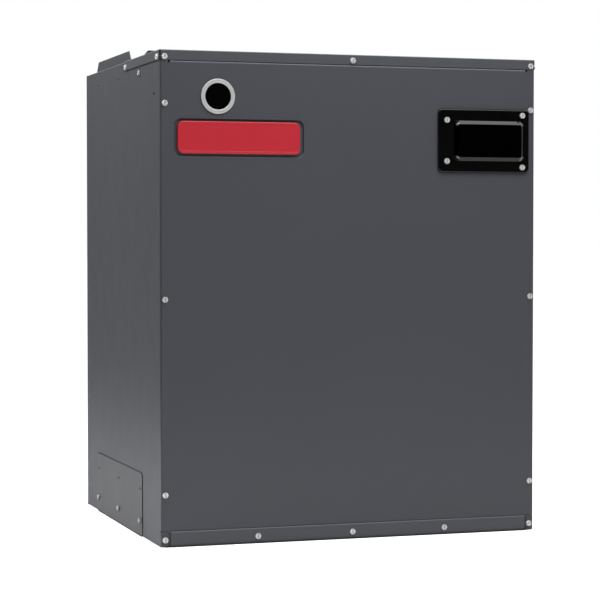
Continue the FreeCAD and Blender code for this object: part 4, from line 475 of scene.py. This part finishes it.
def shape_mat(mat, clips, low, high, facing, seed):
    """Add one mat with its rolled rim, puckers and dimples to a shape, and its pins to another."""
    place, width, height, thickness = wall_place(low, high, facing)
    columns = max(2, round(width / PIN_SPACING))
    rows = max(2, round(height / PIN_SPACING))
    pins = [Vector((((column + 0.5) / columns - 0.5) * width, ((row + 0.5) / rows - 0.5) * height, 0.0))
            for column in range(columns) for row in range(rows)]
    slab = bmesh.new()
    bmesh.ops.create_grid(slab, x_segments=round(width / MAT_STEP), y_segments=round(height / MAT_STEP),
                          size=0.5)
    bmesh.ops.scale(slab, vec=(width, height, 1.0), verts=slab.verts)
    raised = bmesh.ops.extrude_face_region(slab, geom=slab.faces[:])["geom"]
    for vert in (item for item in raised if isinstance(item, bmesh.types.BMVert)):
        dip = sum(math.exp(-((vert.co.xy - pin.xy).length / DIMPLE_SPREAD) ** 2) for pin in pins)
        pucker = noise.noise(Vector((vert.co.x * PUCKER_SCALE, vert.co.y * PUCKER_SCALE, seed)))
        vert.co.z = thickness - PUCKER_DEPTH * (1.0 + pucker) - DIMPLE_DEPTH * dip
    bmesh.ops.recalc_face_normals(slab, faces=slab.faces)
    rim = [item for item in raised
           if isinstance(item, bmesh.types.BMEdge) and item.calc_face_angle(0.0) > RIM_ANGLE]
    ease_edges(slab, rim, MAT_RIM, segments=3)
    slab.normal_update()
    for face in slab.faces:
        face.material_index = 0 if face.normal.z > FOIL_TURN else 2 if face.normal.z < BACKING_TURN else 1
    washer_height = thickness - PUCKER_DEPTH - DIMPLE_DEPTH
    rounds = ((WASHER_RADIUS, WASHER_THICKNESS, WASHER_TIP), (PIN_RADIUS, PIN_STAND, PIN_TIP))
    washers = bmesh.new()
    for pin in pins:
        for radius, stand, tip in rounds:
            middle = Matrix.Translation(pin + Vector((0.0, 0.0, washer_height + stand / 2.0)))
            bmesh.ops.create_cone(washers, cap_ends=True, segments=20, radius1=radius, radius2=radius * tip,
                                  depth=stand, matrix=middle)
    for part, whole in ((slab, mat), (washers, clips)):
        bmesh.ops.transform(part, matrix=place, verts=part.verts)
        holder = bpy.data.meshes.new("holder")
        part.to_mesh(holder)
        part.free()
        whole.from_mesh(holder)
        bpy.data.meshes.remove(holder)


support_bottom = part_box("deck_supports")[0].z
deck_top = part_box("blower_deck")[1].z
pan_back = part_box("control_pan")[1].y
for number, (node, facing, body) in enumerate((
        ("left_liner", (1.0, 0.0, 0.0), "cabinet"),
        ("right_liner", (-1.0, 0.0, 0.0), "cabinet"),
        ("back_liner", (0.0, -1.0, 0.0), "cabinet"),
        ("front_liner", (0.0, 1.0, 0.0), "access_panel"))):
    low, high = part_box(node)
    mat, clips = bmesh.new(), bmesh.new()
    shape_mat(mat, clips, low, Vector((high.x, high.y, min(high.z, support_bottom))), Vector(facing), number)
    if high.z > deck_top:
        upper_low = Vector((low.x, max(low.y, pan_back), deck_top))
        shape_mat(mat, clips, upper_low, high, Vector(facing), number + 0.5)
    piece = add_piece(node + "_mat", mat, (foil_facing, fibre_edge, mat_backing), body,
                      smooth_angle=60.0)
    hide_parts(node)
    add_piece(node + "_clips", clips, (zinc_plate,), body)


# Fan wheel: curved blades held in two end rings, a centre disc and a hub on the shaft.
# Galvanised strip, rolled and crimped; the hub is zinc-coated too, and pinned by a set screw.
# The strip is thin, so its crystals are smaller than the housing's.

WHEEL_CRYSTAL_SCALE = 120.0

wheel_sheet = galvanised_sheet("wheel_sheet", WHEEL_CRYSTAL_SCALE)
dress(wheel_sheet, "wheel_blades", "wheel_end_rings", "wheel_disc", "wheel_hub")


# Motor: shell, end bell, finned control module, rotor, stator, shaft and bearings.
# Painted steel shell, cast aluminium ends, laminated rotor, wound stator and ground steel shaft.
# It sits in the wheel's left eye, and the module's fins cool it in the inlet air.

MOTOR_BLACK = (0.018, 0.0185, 0.020, 1.0)
CASTING = (0.52, 0.52, 0.515, 1.0)
CASTING_PIT = (0.30, 0.30, 0.30, 1.0)
PIT_SCALE = 700.0
PIT_SHARPNESS = 3.0
CORE_STEEL = (0.30, 0.30, 0.31, 1.0)
LAMINATION = 0.0006
LAMINATION_DEPTH = 0.00006
LAMINATION_ACROSS = (0.70, 0.70, 0.0)
COPPER = (0.56, 0.23, 0.10, 1.0)
WIRE_PITCH = 0.0011
WIRE_DEPTH = 0.0003
WIRE_ACROSS = (0.0, 0.25, 0.97)
GROUND_STEEL = (0.66, 0.66, 0.67, 1.0)
FIN_COUNT = 28
FIN_INNER = 0.024
FIN_OUTER = 0.058
FIN_STAND = 0.007
FIN_THICKNESS = 0.0024
FIN_SINK = 0.001
FIN_EASE = 0.0007

motor_paint = grained_finish("motor_paint", MOTOR_BLACK, mottle=0.15, mottle_scale=20.0, roughness=0.38,
                             spread=0.08, grain_scale=700.0, grain_depth=0.00002)
dress(motor_paint, "motor_shell")
casting = grained_finish("cast_aluminium", CASTING, mottle=0.08, mottle_scale=35.0, roughness=0.50,
                         spread=0.08, grain_scale=1100.0, grain_depth=0.00008, metallic=1.0)
pits = noise_value(casting.node_tree, PIT_SCALE, detail=2.0)
layer_colour(casting, math_node(casting.node_tree, "POWER", pits, PIT_SHARPNESS), CASTING_PIT)
dress(casting, "motor_end_bell", "motor_control_module")
laminated = grained_finish("laminated_steel", CORE_STEEL, mottle=0.15, mottle_scale=40.0, roughness=0.48,
                           spread=0.08, grain_scale=1400.0, grain_depth=0.00001, metallic=1.0)
tree = laminated.node_tree
sheets = ridges(tree, along(tree, LAMINATION_ACROSS), LAMINATION)
add_relief(laminated, product(tree, sheets, LAMINATION_DEPTH))
dress(laminated, "motor_rotor")
enamelled_wire = grained_finish("enamelled_wire", COPPER, mottle=0.20, mottle_scale=50.0, roughness=0.34,
                                spread=0.08, grain_scale=900.0, grain_depth=0.00001, metallic=0.8)
tree = enamelled_wire.node_tree
add_relief(enamelled_wire, product(tree, ridges(tree, along(tree, WIRE_ACROSS), WIRE_PITCH), WIRE_DEPTH))
dress(enamelled_wire, "motor_stator")
ground_steel = grained_finish("ground_steel", GROUND_STEEL, mottle=0.06, mottle_scale=60.0, roughness=0.24,
                              spread=0.06, grain_scale=3000.0, grain_depth=0.000004, metallic=1.0)
dress(ground_steel, "motor_shaft", "motor_bearings")

module_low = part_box("motor_control_module")[0]
bell_low, bell_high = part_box("motor_end_bell")
axis = (bell_low + bell_high) / 2.0
fins = bmesh.new()
for number in range(FIN_COUNT):
    turn = Matrix.Rotation(2.0 * math.pi * number / FIN_COUNT, 4, "X")
    middle = Matrix.Translation((0.0, 0.0, (FIN_INNER + FIN_OUTER) / 2.0))
    size = Matrix.Diagonal((FIN_STAND + FIN_SINK, FIN_THICKNESS, FIN_OUTER - FIN_INNER, 1.0))
    bmesh.ops.create_cube(fins, size=1.0, matrix=turn @ middle @ size)
bmesh.ops.translate(fins, vec=(module_low.x - (FIN_STAND - FIN_SINK) / 2.0, axis.y, axis.z), verts=fins.verts)
ease_edges(fins, fins.edges[:], FIN_EASE)
add_piece("motor_module_fins", fins, (casting,), "cabinet")


# Motor mount: a clamped band, three arms and the rubber isolators under their bolts.
# Galvanised strip for the band and arms, moulded black rubber for the isolators.
# The same rubber makes the deck grommet and the loom over the motor's wires.

RUBBER = (0.016, 0.016, 0.017, 1.0)
LOOM_PITCH = 0.0032
LOOM_DEPTH = 0.0007
LOOM_ALONG = (0.0, 0.15, 0.99)

dress(wheel_sheet, "motor_band", "motor_mount_arms")
rubber = grained_finish("moulded_rubber", RUBBER, mottle=0.18, mottle_scale=45.0, roughness=0.72, spread=0.08,
                        grain_scale=1800.0, grain_depth=0.00003)
dress(rubber, "motor_isolators", "deck_grommet")
loom = grained_finish("split_loom", RUBBER, mottle=0.15, mottle_scale=45.0, roughness=0.50, spread=0.08,
                      grain_scale=1200.0, grain_depth=0.00001)
tree = loom.node_tree
add_relief(loom, product(tree, ridges(tree, along(tree, LOOM_ALONG), LOOM_PITCH), LOOM_DEPTH))
dress(loom, "motor_harness")


# Control board on its standoffs, with relays, connectors and small soldered parts.
# Green-masked glass laminate with tinned pads, black and white moulded parts on it.
# It hangs on the control pan's front wall, behind the access panel.

BOARD_GREEN = (0.012, 0.090, 0.040, 1.0)
TRACK_GREEN = (0.030, 0.170, 0.080, 1.0)
TRACK_SCALE = 140.0
TRACK_EDGE = (0.10, 0.05)
TRACK_DEPTH = 0.00004
TINNED = (0.62, 0.61, 0.58, 1.0)
RELAY_BLACK = (0.014, 0.014, 0.016, 1.0)
NYLON_WHITE = (0.74, 0.73, 0.69, 1.0)
SLEEVE = (0.010, 0.013, 0.030, 1.0)
CHIP_SPOTS = ((0.062, 0.034, 0.019, 0.0095), (0.100, 0.040, 0.012, 0.012), (0.126, 0.084, 0.0095, 0.019))
CHIP_HEIGHT = 0.0026
CHIP_EASE = 0.0003
LEG_PITCH = 0.0025
LEG_REACH = 0.0008
LEG_SIZE = (0.0011, 0.0012, 0.0011)
LEG_EASE = 0.0002
CAPACITOR_SPOTS = ((0.018, 0.106, 0.0065, 0.016), (0.035, 0.106, 0.0065, 0.016), (0.022, 0.086, 0.005, 0.012),
                   (0.140, 0.112, 0.008, 0.018), (0.153, 0.040, 0.004, 0.009))
CAPACITOR_EASE = 0.0006
TOP_SHARE = 0.82
TOP_STAND = 0.0004
TOP_EASE = 0.0001
TAB_ROW = (0.030, 0.128, 0.0115, 10)
TAB_SIZE = (0.0063, 0.0085, 0.0008)
RESISTOR_ROW = (0.112, 0.100, 0.0048, 5)
RESISTOR_SIZE = (0.0065, 0.0022, 0.0022)
RESISTOR_STAND = 0.0012
RESISTOR_EASE = 0.0007
CAN_END_ANGLE = 1.0

green_mask = grained_finish("board_mask", BOARD_GREEN, mottle=0.10, mottle_scale=30.0, roughness=0.32,
                            spread=0.06, grain_scale=1600.0, grain_depth=0.00001)
tree = green_mask.node_tree
tracks = add_node(tree, "TexVoronoi", {"Vector": object_point(tree), "Scale": TRACK_SCALE},
                  distance="MANHATTAN", feature="DISTANCE_TO_EDGE")
track_mask = ramp(tree, tracks.outputs["Distance"], TRACK_EDGE)
layer_colour(green_mask, track_mask, TRACK_GREEN)
add_relief(green_mask, product(tree, track_mask, TRACK_DEPTH))
dress(green_mask, "control_board")
relay_plastic = grained_finish("relay_plastic", RELAY_BLACK, mottle=0.12, mottle_scale=60.0, roughness=0.42,
                               spread=0.06, grain_scale=2400.0, grain_depth=0.00001)
dress(relay_plastic, "board_relays", "power_terminal_block")
white_nylon = grained_finish("white_nylon", NYLON_WHITE, mottle=0.05, mottle_scale=60.0, roughness=0.40,
                             spread=0.05, grain_scale=2000.0, grain_depth=0.00001)
dress(white_nylon, "board_connectors", "board_standoffs")
tinned = grained_finish("tinned_brass", TINNED, mottle=0.12, mottle_scale=200.0, roughness=0.34, spread=0.10,
                        grain_scale=2600.0, grain_depth=0.000005, metallic=1.0)
sleeve = grained_finish("capacitor_sleeve", SLEEVE, mottle=0.10, mottle_scale=90.0, roughness=0.30,
                        spread=0.05, grain_scale=1500.0, grain_depth=0.00001)

board_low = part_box("control_board")[0]


def board_spot(across, up, stand):
    """Give a point over the board, measured from its lower left corner and out from its face."""
    return Vector((board_low.x + across, board_low.y - stand, board_low.z + up))


def add_block(shape, centre, size, ease):
    """Add a block with rounded edges to a shape."""
    place = Matrix.Translation(centre) @ Matrix.Diagonal((*size, 1.0))
    made = bmesh.ops.create_cube(shape, size=1.0, matrix=place)
    ease_edges(shape, list({edge for vert in made["verts"] for edge in vert.link_edges}), ease)


def add_can(shape, foot, radius, stand, ease):
    """Add a can that stands out to the front, with rounded end edges."""
    turn = Matrix.Rotation(math.radians(90.0), 4, "X")
    middle = Matrix.Translation(foot - Vector((0.0, stand / 2.0, 0.0)))
    made = bmesh.ops.create_cone(shape, cap_ends=True, segments=24, radius1=radius, radius2=radius,
                                 depth=stand, matrix=middle @ turn)
    ends = {edge for vert in made["verts"] for edge in vert.link_edges
            if edge.calc_face_angle(0.0) > CAN_END_ANGLE}
    ease_edges(shape, list(ends), ease)


chips = bmesh.new()
for across, up, width, height in CHIP_SPOTS:
    add_block(chips, board_spot(across, up, CHIP_HEIGHT / 2.0), (width, CHIP_HEIGHT, height), CHIP_EASE)
add_piece("board_chips", chips, (relay_plastic,), "cabinet")

legs, sleeves, tops = bmesh.new(), bmesh.new(), bmesh.new()
for across, up, width, height in CHIP_SPOTS:
    pins = max(4, round(max(width, height) / LEG_PITCH))
    for number in range(pins):
        step = ((number + 0.5) / pins - 0.5) * max(width, height)
        for side in (-1.0, 1.0):
            offset = side * (min(width, height) / 2.0 + LEG_REACH)
            spot = (across + step, up + offset) if width > height else (across + offset, up + step)
            add_block(legs, board_spot(*spot, LEG_SIZE[1] / 2.0), LEG_SIZE, LEG_EASE)
for across, up, radius, stand in CAPACITOR_SPOTS:
    add_can(sleeves, board_spot(across, up, 0.0), radius, stand, CAPACITOR_EASE)
    add_can(tops, board_spot(across, up, stand - TOP_STAND / 2.0), radius * TOP_SHARE, TOP_STAND, TOP_EASE)
first, up, pitch, count = TAB_ROW
for number in range(count):
    add_block(legs, board_spot(first + pitch * number, up, TAB_SIZE[1] / 2.0), TAB_SIZE, LEG_EASE)
across, first, pitch, count = RESISTOR_ROW
for number in range(count):
    spot = board_spot(across, first - pitch * number, RESISTOR_STAND)
    add_block(sleeves, spot, RESISTOR_SIZE, RESISTOR_EASE)
add_piece("board_terminals", legs, (tinned,), "cabinet")
add_piece("board_capacitors", sleeves, (sleeve,), "cabinet")
add_piece("capacitor_tops", tops, (tinned,), "cabinet")


# Transformer, power terminal block and the bushing where the supply wires come in.
# Laminated core with a wound coil, moulded block with brass screws, black nylon bushing.
# The first two are screwed to the control pan; the bushing snaps into the right side.

BRASS = (0.62, 0.46, 0.20, 1.0)
BUSHING_BLACK = (0.013, 0.013, 0.014, 1.0)
TERMINAL_COUNT = 3
TERMINAL_RADIUS = 0.0042
TERMINAL_STAND = 0.0022
TERMINAL_EASE = 0.0005

dress(laminated, "transformer_core")
dress(enamelled_wire, "transformer_coil")
bushing_nylon = grained_finish("bushing_nylon", BUSHING_BLACK, mottle=0.12, mottle_scale=60.0, roughness=0.40,
                               spread=0.06, grain_scale=2200.0, grain_depth=0.00001)
dress(bushing_nylon, "power_entry_bushing")
brass = grained_finish("brass", BRASS, mottle=0.10, mottle_scale=150.0, roughness=0.30, spread=0.08,
                       grain_scale=2400.0, grain_depth=0.000005, metallic=1.0)
block_low, block_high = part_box("power_terminal_block")
screws = bmesh.new()
for number in range(TERMINAL_COUNT):
    across = block_low.x + (block_high.x - block_low.x) * (number + 0.5) / TERMINAL_COUNT
    foot = Vector((across, block_low.y, (block_low.z + block_high.z) / 2.0))
    add_can(screws, foot, TERMINAL_RADIUS, TERMINAL_STAND, TERMINAL_EASE)
add_piece("terminal_screws", screws, (brass,), "cabinet")


# Top cover, bottom rail and the tie plates low on the two sides.
# The cabinet's own sheet, in paler copies of its coat: painted light, so these parts render lighter than the
# panels.
# The cover's legs and skirt, the rail and the plates are screwed on from outside.

RIGHT = (1.0, 0.0, 0.0)
SIDE_TURN = 0.5
LIT_TIE_SLATE = (0.0560, 0.0575, 0.0625, 1.0)
LIT_TRIM_SLATE = (0.0603, 0.0644, 0.0731, 1.0)
FRONT_SEAMS = (0.82, 0.36)
FRONT_FOLDS = (0.985, 0.85)
COLLAR_BASE = 0.7625
COLLAR_SHARE = 0.65
LEG_HEM = 0.0014
RAIL_CREST_HIGHLIGHT = 2.4
RAIL_CREST = 0.0018
FOOT_FADE = (0.0055, 0.0015)
FOOT_SHARE = 0.9

cover_paint = slate_coat("top_cover_coat", LIT_TRIM_SLATE, FRONT_SEAMS, SIDE_FOLDS, SIDE_CREST_HIGHLIGHT)
tree = cover_paint.node_tree
# painted shade on the rear collar that stands above the cover
collar_shade = math_node(tree, "GREATER_THAN", along(tree, UP), COLLAR_BASE)
layer_colour(cover_paint, product(tree, collar_shade, COLLAR_SHARE), PAINTED_SHADE)
# painted shade along the lower edge of the cover's legs, where they shadow the sides
leg_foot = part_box("top_cover")[0].z
hem = ramp(tree, along(tree, UP), (leg_foot + LEG_HEM, leg_foot + LEG_HEM / 2.0), (0.0, SEAM_SHARE))
sideways = math_node(tree, "ABSOLUTE", turned_to(tree, RIGHT))
on_leg = math_node(tree, "GREATER_THAN", sideways, SIDE_TURN)
layer_colour(cover_paint, product(tree, hem, on_leg), PAINTED_SHADE)
dress(cover_paint, "top_cover")

rail_paint = slate_coat("rail_coat", LIT_TRIM_SLATE, FRONT_SEAMS, FRONT_FOLDS, RAIL_CREST_HIGHLIGHT)
tree = rail_paint.node_tree
# painted shade along the rail's foot, next to the floor
layer_colour(rail_paint, ramp(tree, along(tree, UP), FOOT_FADE, (0.0, FOOT_SHARE)), PAINTED_SHADE)
rail_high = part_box("bottom_rail")[1]
# painted highlight along the rail's top fold
crest = ramp(tree, along(tree, UP), (rail_high.z - RAIL_CREST, rail_high.z - RAIL_CREST / 2.0))
layer_colour(rail_paint, crest, toned_colour(LIT_TRIM_SLATE, RAIL_CREST_HIGHLIGHT))
dress(rail_paint, "bottom_rail")

tie_paint = slate_coat("tie_plate_coat", LIT_TIE_SLATE, SIDE_SEAMS, SIDE_FOLDS, SIDE_CREST_HIGHLIGHT)
tree = tie_paint.node_tree
# painted shade on the plates' edges, where a shadow gap runs round them
sideways = math_node(tree, "ABSOLUTE", turned_to(tree, RIGHT))
shaded_edge = math_node(tree, "LESS_THAN", sideways, SIDE_TURN)
layer_colour(tie_paint, product(tree, shaded_edge, SEAM_SHARE), PAINTED_SHADE)
dress(tie_paint, "left_tie_plate", "right_tie_plate")


# Access panel: the flat front with its folded edges.
# One sheet in the cabinet's coat, held by six screws and lifted off forwards.
# It carries the sight port, the badge and the breaker cover.

SLATE = (0.0527, 0.0562, 0.0652, 1.0)
FRONT_CREST_HIGHLIGHT = 2.9
FOOT_STRIP = 0.004

front_paint = slate_coat("front_powder_coat", SLATE, FRONT_SEAMS, FRONT_FOLDS, FRONT_CREST_HIGHLIGHT)
tree = front_paint.node_tree
strip_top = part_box("front_panel")[0].z + FOOT_STRIP
strip = math_node(tree, "LESS_THAN", along(tree, UP), strip_top)
reach = math_node(tree, "ABSOLUTE", along(tree, RIGHT))
over_rail = math_node(tree, "LESS_THAN", reach, rail_high.x)
layer_colour(front_paint, product(tree, strip, over_rail), SLATE)
dress(front_paint, "front_panel")


# Sight port: a turned ring pressed into the panel, with a smoked disc in it.
# Satin aluminium with the lathe's fine rings left on it, and smoked plastic.
# Behind it is the dark control space, so the disc looks black.

BEZEL = (0.68, 0.685, 0.68, 1.0)
LATHE_PITCH = 0.0005
LATHE_DEPTH = 0.000012
LATHE_PLANE = (1.0, 0.0, 1.0)
SMOKED = (0.030, 0.031, 0.032, 1.0)
SMOKED_IOR = 1.49

bezel_low, bezel_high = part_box("sight_port_bezel")
port_centre = (bezel_low + bezel_high) / 2.0
turned_metal = grained_finish("turned_aluminium", BEZEL, mottle=0.04, mottle_scale=60.0, roughness=0.56,
                              spread=0.06, grain_scale=1800.0, grain_depth=0.000004, metallic=1.0)
tree = turned_metal.node_tree
offset = add_node(tree, "VectorMath", {0: object_point(tree), 1: port_centre}, operation="SUBTRACT")
flat = add_node(tree, "VectorMath", {0: offset.outputs[0], 1: LATHE_PLANE}, operation="MULTIPLY")
reach = add_node(tree, "VectorMath", {0: flat.outputs[0]}, operation="LENGTH").outputs["Value"]
add_relief(turned_metal, product(tree, ridges(tree, reach, LATHE_PITCH), LATHE_DEPTH))
dress(turned_metal, "sight_port_bezel")

smoked_disc = grained_finish("smoked_disc", SMOKED, mottle=0.03, mottle_scale=40.0, roughness=0.05,
                             spread=0.02, grain_scale=60.0, grain_depth=0.000004)
shader_inputs(smoked_disc)["Transmission Weight"].default_value = 1.0
shader_inputs(smoked_disc)["IOR"].default_value = SMOKED_IOR
dress(smoked_disc, "sight_port_glass")


# Badge: a plain moulded plate glued into the panel's pressed recess.
# Deep red enamel over the moulding, with a raised rim round a flat field.
# Its corners are rounded, and its front edge is eased.

BADGE_RED = (0.452, 0.0198, 0.0319, 1.0)
BADGE_CORNER = 0.0092
BADGE_EDGE = 0.0011
BADGE_RIM = 0.0026
BADGE_STEP = 0.0005

badge_enamel = grained_finish("badge_enamel", BADGE_RED, mottle=0.04, mottle_scale=25.0, roughness=0.24,
                              spread=0.05, grain_scale=420.0, grain_depth=0.00001)
badge_low, badge_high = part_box("badge_plate")
badge_place = Matrix.Translation((badge_low + badge_high) / 2.0)
badge_size = Matrix.Diagonal((*(badge_high - badge_low), 1.0))
badge = bmesh.new()
bmesh.ops.create_cube(badge, size=1.0, matrix=badge_place @ badge_size)
corners = [edge for edge in badge.edges if abs(edge.verts[0].co.y - edge.verts[1].co.y) > BADGE_STEP]
ease_edges(badge, corners, BADGE_CORNER, segments=8)
field = min(badge.faces, key=lambda face: face.calc_center_median().y)
ease_edges(badge, field.edges[:], BADGE_EDGE, segments=4)
field = min(badge.faces, key=lambda face: face.calc_center_median().y)
bmesh.ops.inset_region(badge, faces=[field], thickness=BADGE_RIM)
bmesh.ops.inset_region(badge, faces=[field], thickness=BADGE_STEP, depth=-BADGE_STEP)
bmesh.ops.recalc_face_normals(badge, faces=badge.faces)
badge_piece = add_piece("badge_enamelled", badge, (badge_enamel,), "access_panel")
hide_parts("badge_plate")


# Breaker cover: a moulded plate with a raised, bevelled window over the breakers.
# Black plastic, glossy on the plate and polished on the window, screwed on at the corners.
# The window's corners and its right rim carry painted highlights.

COVER_BLACK = (0.0017, 0.0017, 0.0018, 1.0)
WINDOW_BLACK = (0.0002, 0.0002, 0.0002, 1.0)
WINDOW_ROUGHNESS = 0.05
WINDOW_RISE = 0.0044
CROWN_FADE = (0.0012, 0.0006)
HIGHLIGHT_GREY = (0.110, 0.110, 0.110, 1.0)
HIGHLIGHT_RISE = 0.0024
BEVEL_TURN = 0.03
CORNER_TURN = 0.2

cover_plastic = grained_finish("cover_plastic", COVER_BLACK, mottle=0.15, mottle_scale=30.0, roughness=0.11,
                               spread=0.03, grain_scale=500.0, grain_depth=0.000003)
tree = cover_plastic.node_tree
cover_front = -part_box("breaker_cover")[0].y
height = along(tree, FRONT)
crown = ramp(tree, height, (cover_front - CROWN_FADE[0], cover_front - CROWN_FADE[1]))
layer_colour(cover_plastic, crown, WINDOW_BLACK)
layer_roughness(cover_plastic, crown, WINDOW_ROUGHNESS)
raised = math_node(tree, "GREATER_THAN", height, cover_front - WINDOW_RISE)
upper = math_node(tree, "GREATER_THAN", height, cover_front - HIGHLIGHT_RISE)
rightward = turned_to(tree, RIGHT)
turned_left = math_node(tree, "LESS_THAN", rightward, -BEVEL_TURN)
turned_right = math_node(tree, "GREATER_THAN", rightward, BEVEL_TURN)
upright = math_node(tree, "ABSOLUTE", turned_to(tree, UP))
cornered = math_node(tree, "GREATER_THAN", upright, CORNER_TURN)
# painted highlight on the window's corners and its right rim
right_corner = product(tree, cornered, raised, turned_right)
left_corner = product(tree, cornered, upper, turned_left)
right_rim = product(tree, math_node(tree, "GREATER_THAN", rightward, CORNER_TURN), crown)
painted_highlight = math_node(tree, "MAXIMUM", math_node(tree, "MAXIMUM", right_corner, left_corner), right_rim)
layer_colour(cover_plastic, painted_highlight, HIGHLIGHT_GREY)
shaded = math_node(tree, "SUBTRACT", product(tree, turned_left, raised), left_corner)
tree.links.new(shaded, shader_inputs(cover_plastic)["Metallic"])
dress(cover_plastic, "breaker_cover")


# Studio: camera, white surround, soft lamps and a white floor.
# The surround is white behind the unit and dim behind the camera, as in a photo studio.
# The floor lets a camera below it see through, and keeps the unit's shadow.

CAMERA_PLACE = (-1.05974, -3.25993, 0.47889)
CAMERA_TURN = (math.radians(90.0 - 1.830), 0.0, math.radians(-17.985))
CAMERA_LENS = 121.24
AMBIENT = 0.45
BRIGHT_BACK = 0.28
DIM_FRONT = 0.006
BACK_TURN = (-0.1, 0.4)
WHITE = (1.0, 1.0, 1.0, 1.0)
FLOOR_WHITE = (0.90, 0.90, 0.90, 1.0)
FLOOR_ROUGHNESS = 0.9
FLOOR_GLOW = 0.66
FLOOR_REACH = 40.0
UNDER_EDGE = 0.012

camera_data = bpy.data.cameras.new("photo_camera")
camera_data.sensor_width = 36.0
camera_data.lens = CAMERA_LENS
camera_data.clip_end = 200.0
camera = bpy.data.objects.new("photo_camera", camera_data)
camera.location = CAMERA_PLACE
camera.rotation_euler = CAMERA_TURN
bpy.context.scene.collection.objects.link(camera)
bpy.context.scene.camera = camera
bpy.context.scene.view_settings.view_transform = "Standard"

world = bpy.data.worlds.new("studio")
world.use_nodes = True
bpy.context.scene.world = world
tree = world.node_tree
background = tree.nodes["Background"]
heading = add_node(tree, "SeparateXYZ", {0: add_node(tree, "TexCoord").outputs["Generated"]}).outputs["Y"]
behind = ramp(tree, heading, BACK_TURN, (DIM_FRONT, BRIGHT_BACK), interpolation_type="SMOOTHSTEP")
path = add_node(tree, "LightPath").outputs
seen = math_node(tree, "MAXIMUM", path["Is Camera Ray"], path["Is Transmission Ray"])
level = add_node(tree, "Mix", {0: path["Is Glossy Ray"], 2: AMBIENT, 3: behind}, data_type="FLOAT")
level = add_node(tree, "Mix", {0: seen, 2: level.outputs[0], 3: 1.0}, data_type="FLOAT")
tree.links.new(level.outputs[0], background.inputs["Strength"])
background.inputs["Color"].default_value = WHITE

for name, place, aim, width, height, spread, power in (
        ("overhead_softbox", (0.35, -1.20, 2.35), (0.0, -0.15, 0.40), 2.2, 2.2, 180.0, 43.0),
        ("front_high", (0.10, -0.75, 1.35), (0.10, -0.27, 0.72), 0.9, 0.3, 180.0, 2.5),
        ("left_high", (-0.75, 0.10, 1.25), (-0.31, 0.05, 0.75), 1.0, 0.4, 180.0, 7.7),
        ("left_floor", (-0.85, 0.05, 0.07), (-0.31, 0.05, 0.07), 1.3, 0.12, 40.0, 0.84),
        ("front_floor", (0.10, -0.60, 0.02), (0.10, -0.27, 0.06), 0.9, 0.05, 180.0, 0.17),
        ("right_strip", (1.75, 1.35, 0.75), (0.31, 0.0, 0.50), 0.3, 1.4, 180.0, 1.25)):
    lamp_data = bpy.data.lights.new(name, "AREA")
    lamp_data.shape = "RECTANGLE"
    lamp_data.size = width
    lamp_data.size_y = height
    lamp_data.spread = math.radians(spread)
    lamp_data.energy = power
    lamp = bpy.data.objects.new(name, lamp_data)
    lamp.location = place
    lamp.visible_camera = False
    lamp.rotation_euler = (Vector(aim) - Vector(place)).to_track_quat("-Z", "Y").to_euler()
    bpy.context.scene.collection.objects.link(lamp)

floor_paint = bpy.data.materials.new("studio_floor")
floor_paint.use_nodes = True
tree = floor_paint.node_tree
shader = tree.nodes["Principled BSDF"]
shader.inputs["Base Color"].default_value = FLOOR_WHITE
shader.inputs["Roughness"].default_value = FLOOR_ROUGHNESS
shader.inputs["Specular IOR Level"].default_value = 0.0
path = add_node(tree, "LightPath").outputs
shown = math_node(tree, "MAXIMUM", path["Is Camera Ray"], path["Is Transmission Ray"])
reach = add_node(tree, "VectorMath", {0: object_point(tree)}, operation="ABSOLUTE").outputs[0]
reach = add_node(tree, "SeparateXYZ", {0: reach}).outputs
outside = math_node(tree, "MAXIMUM", math_node(tree, "GREATER_THAN", reach["X"], cad_high.x - UNDER_EDGE),
                    math_node(tree, "GREATER_THAN", reach["Y"], cad_high.y - UNDER_EDGE))
glow = add_node(tree, "Emission", {"Color": WHITE, "Strength": product(tree, shown, outside, FLOOR_GLOW)})
lit = add_node(tree, "AddShader", {0: shader.outputs[0], 1: glow.outputs[0]})
backfacing = add_node(tree, "NewGeometry").outputs["Backfacing"]
below = product(tree, backfacing, path["Is Camera Ray"])
clear = add_node(tree, "BsdfTransparent")
mixed = add_node(tree, "MixShader", {0: below, 1: lit.outputs[0], 2: clear.outputs[0]})
tree.links.new(mixed.outputs[0], tree.nodes["Material Output"].inputs["Surface"])
floor_shape = bmesh.new()
bmesh.ops.create_grid(floor_shape, x_segments=1, y_segments=1, size=FLOOR_REACH)
floor_mesh = bpy.data.meshes.new("studio_floor")
floor_shape.to_mesh(floor_mesh)
floor_shape.free()
floor_mesh.materials.append(floor_paint)
floor = bpy.data.objects.new("studio_floor", floor_mesh)
bpy.context.scene.collection.objects.link(floor)
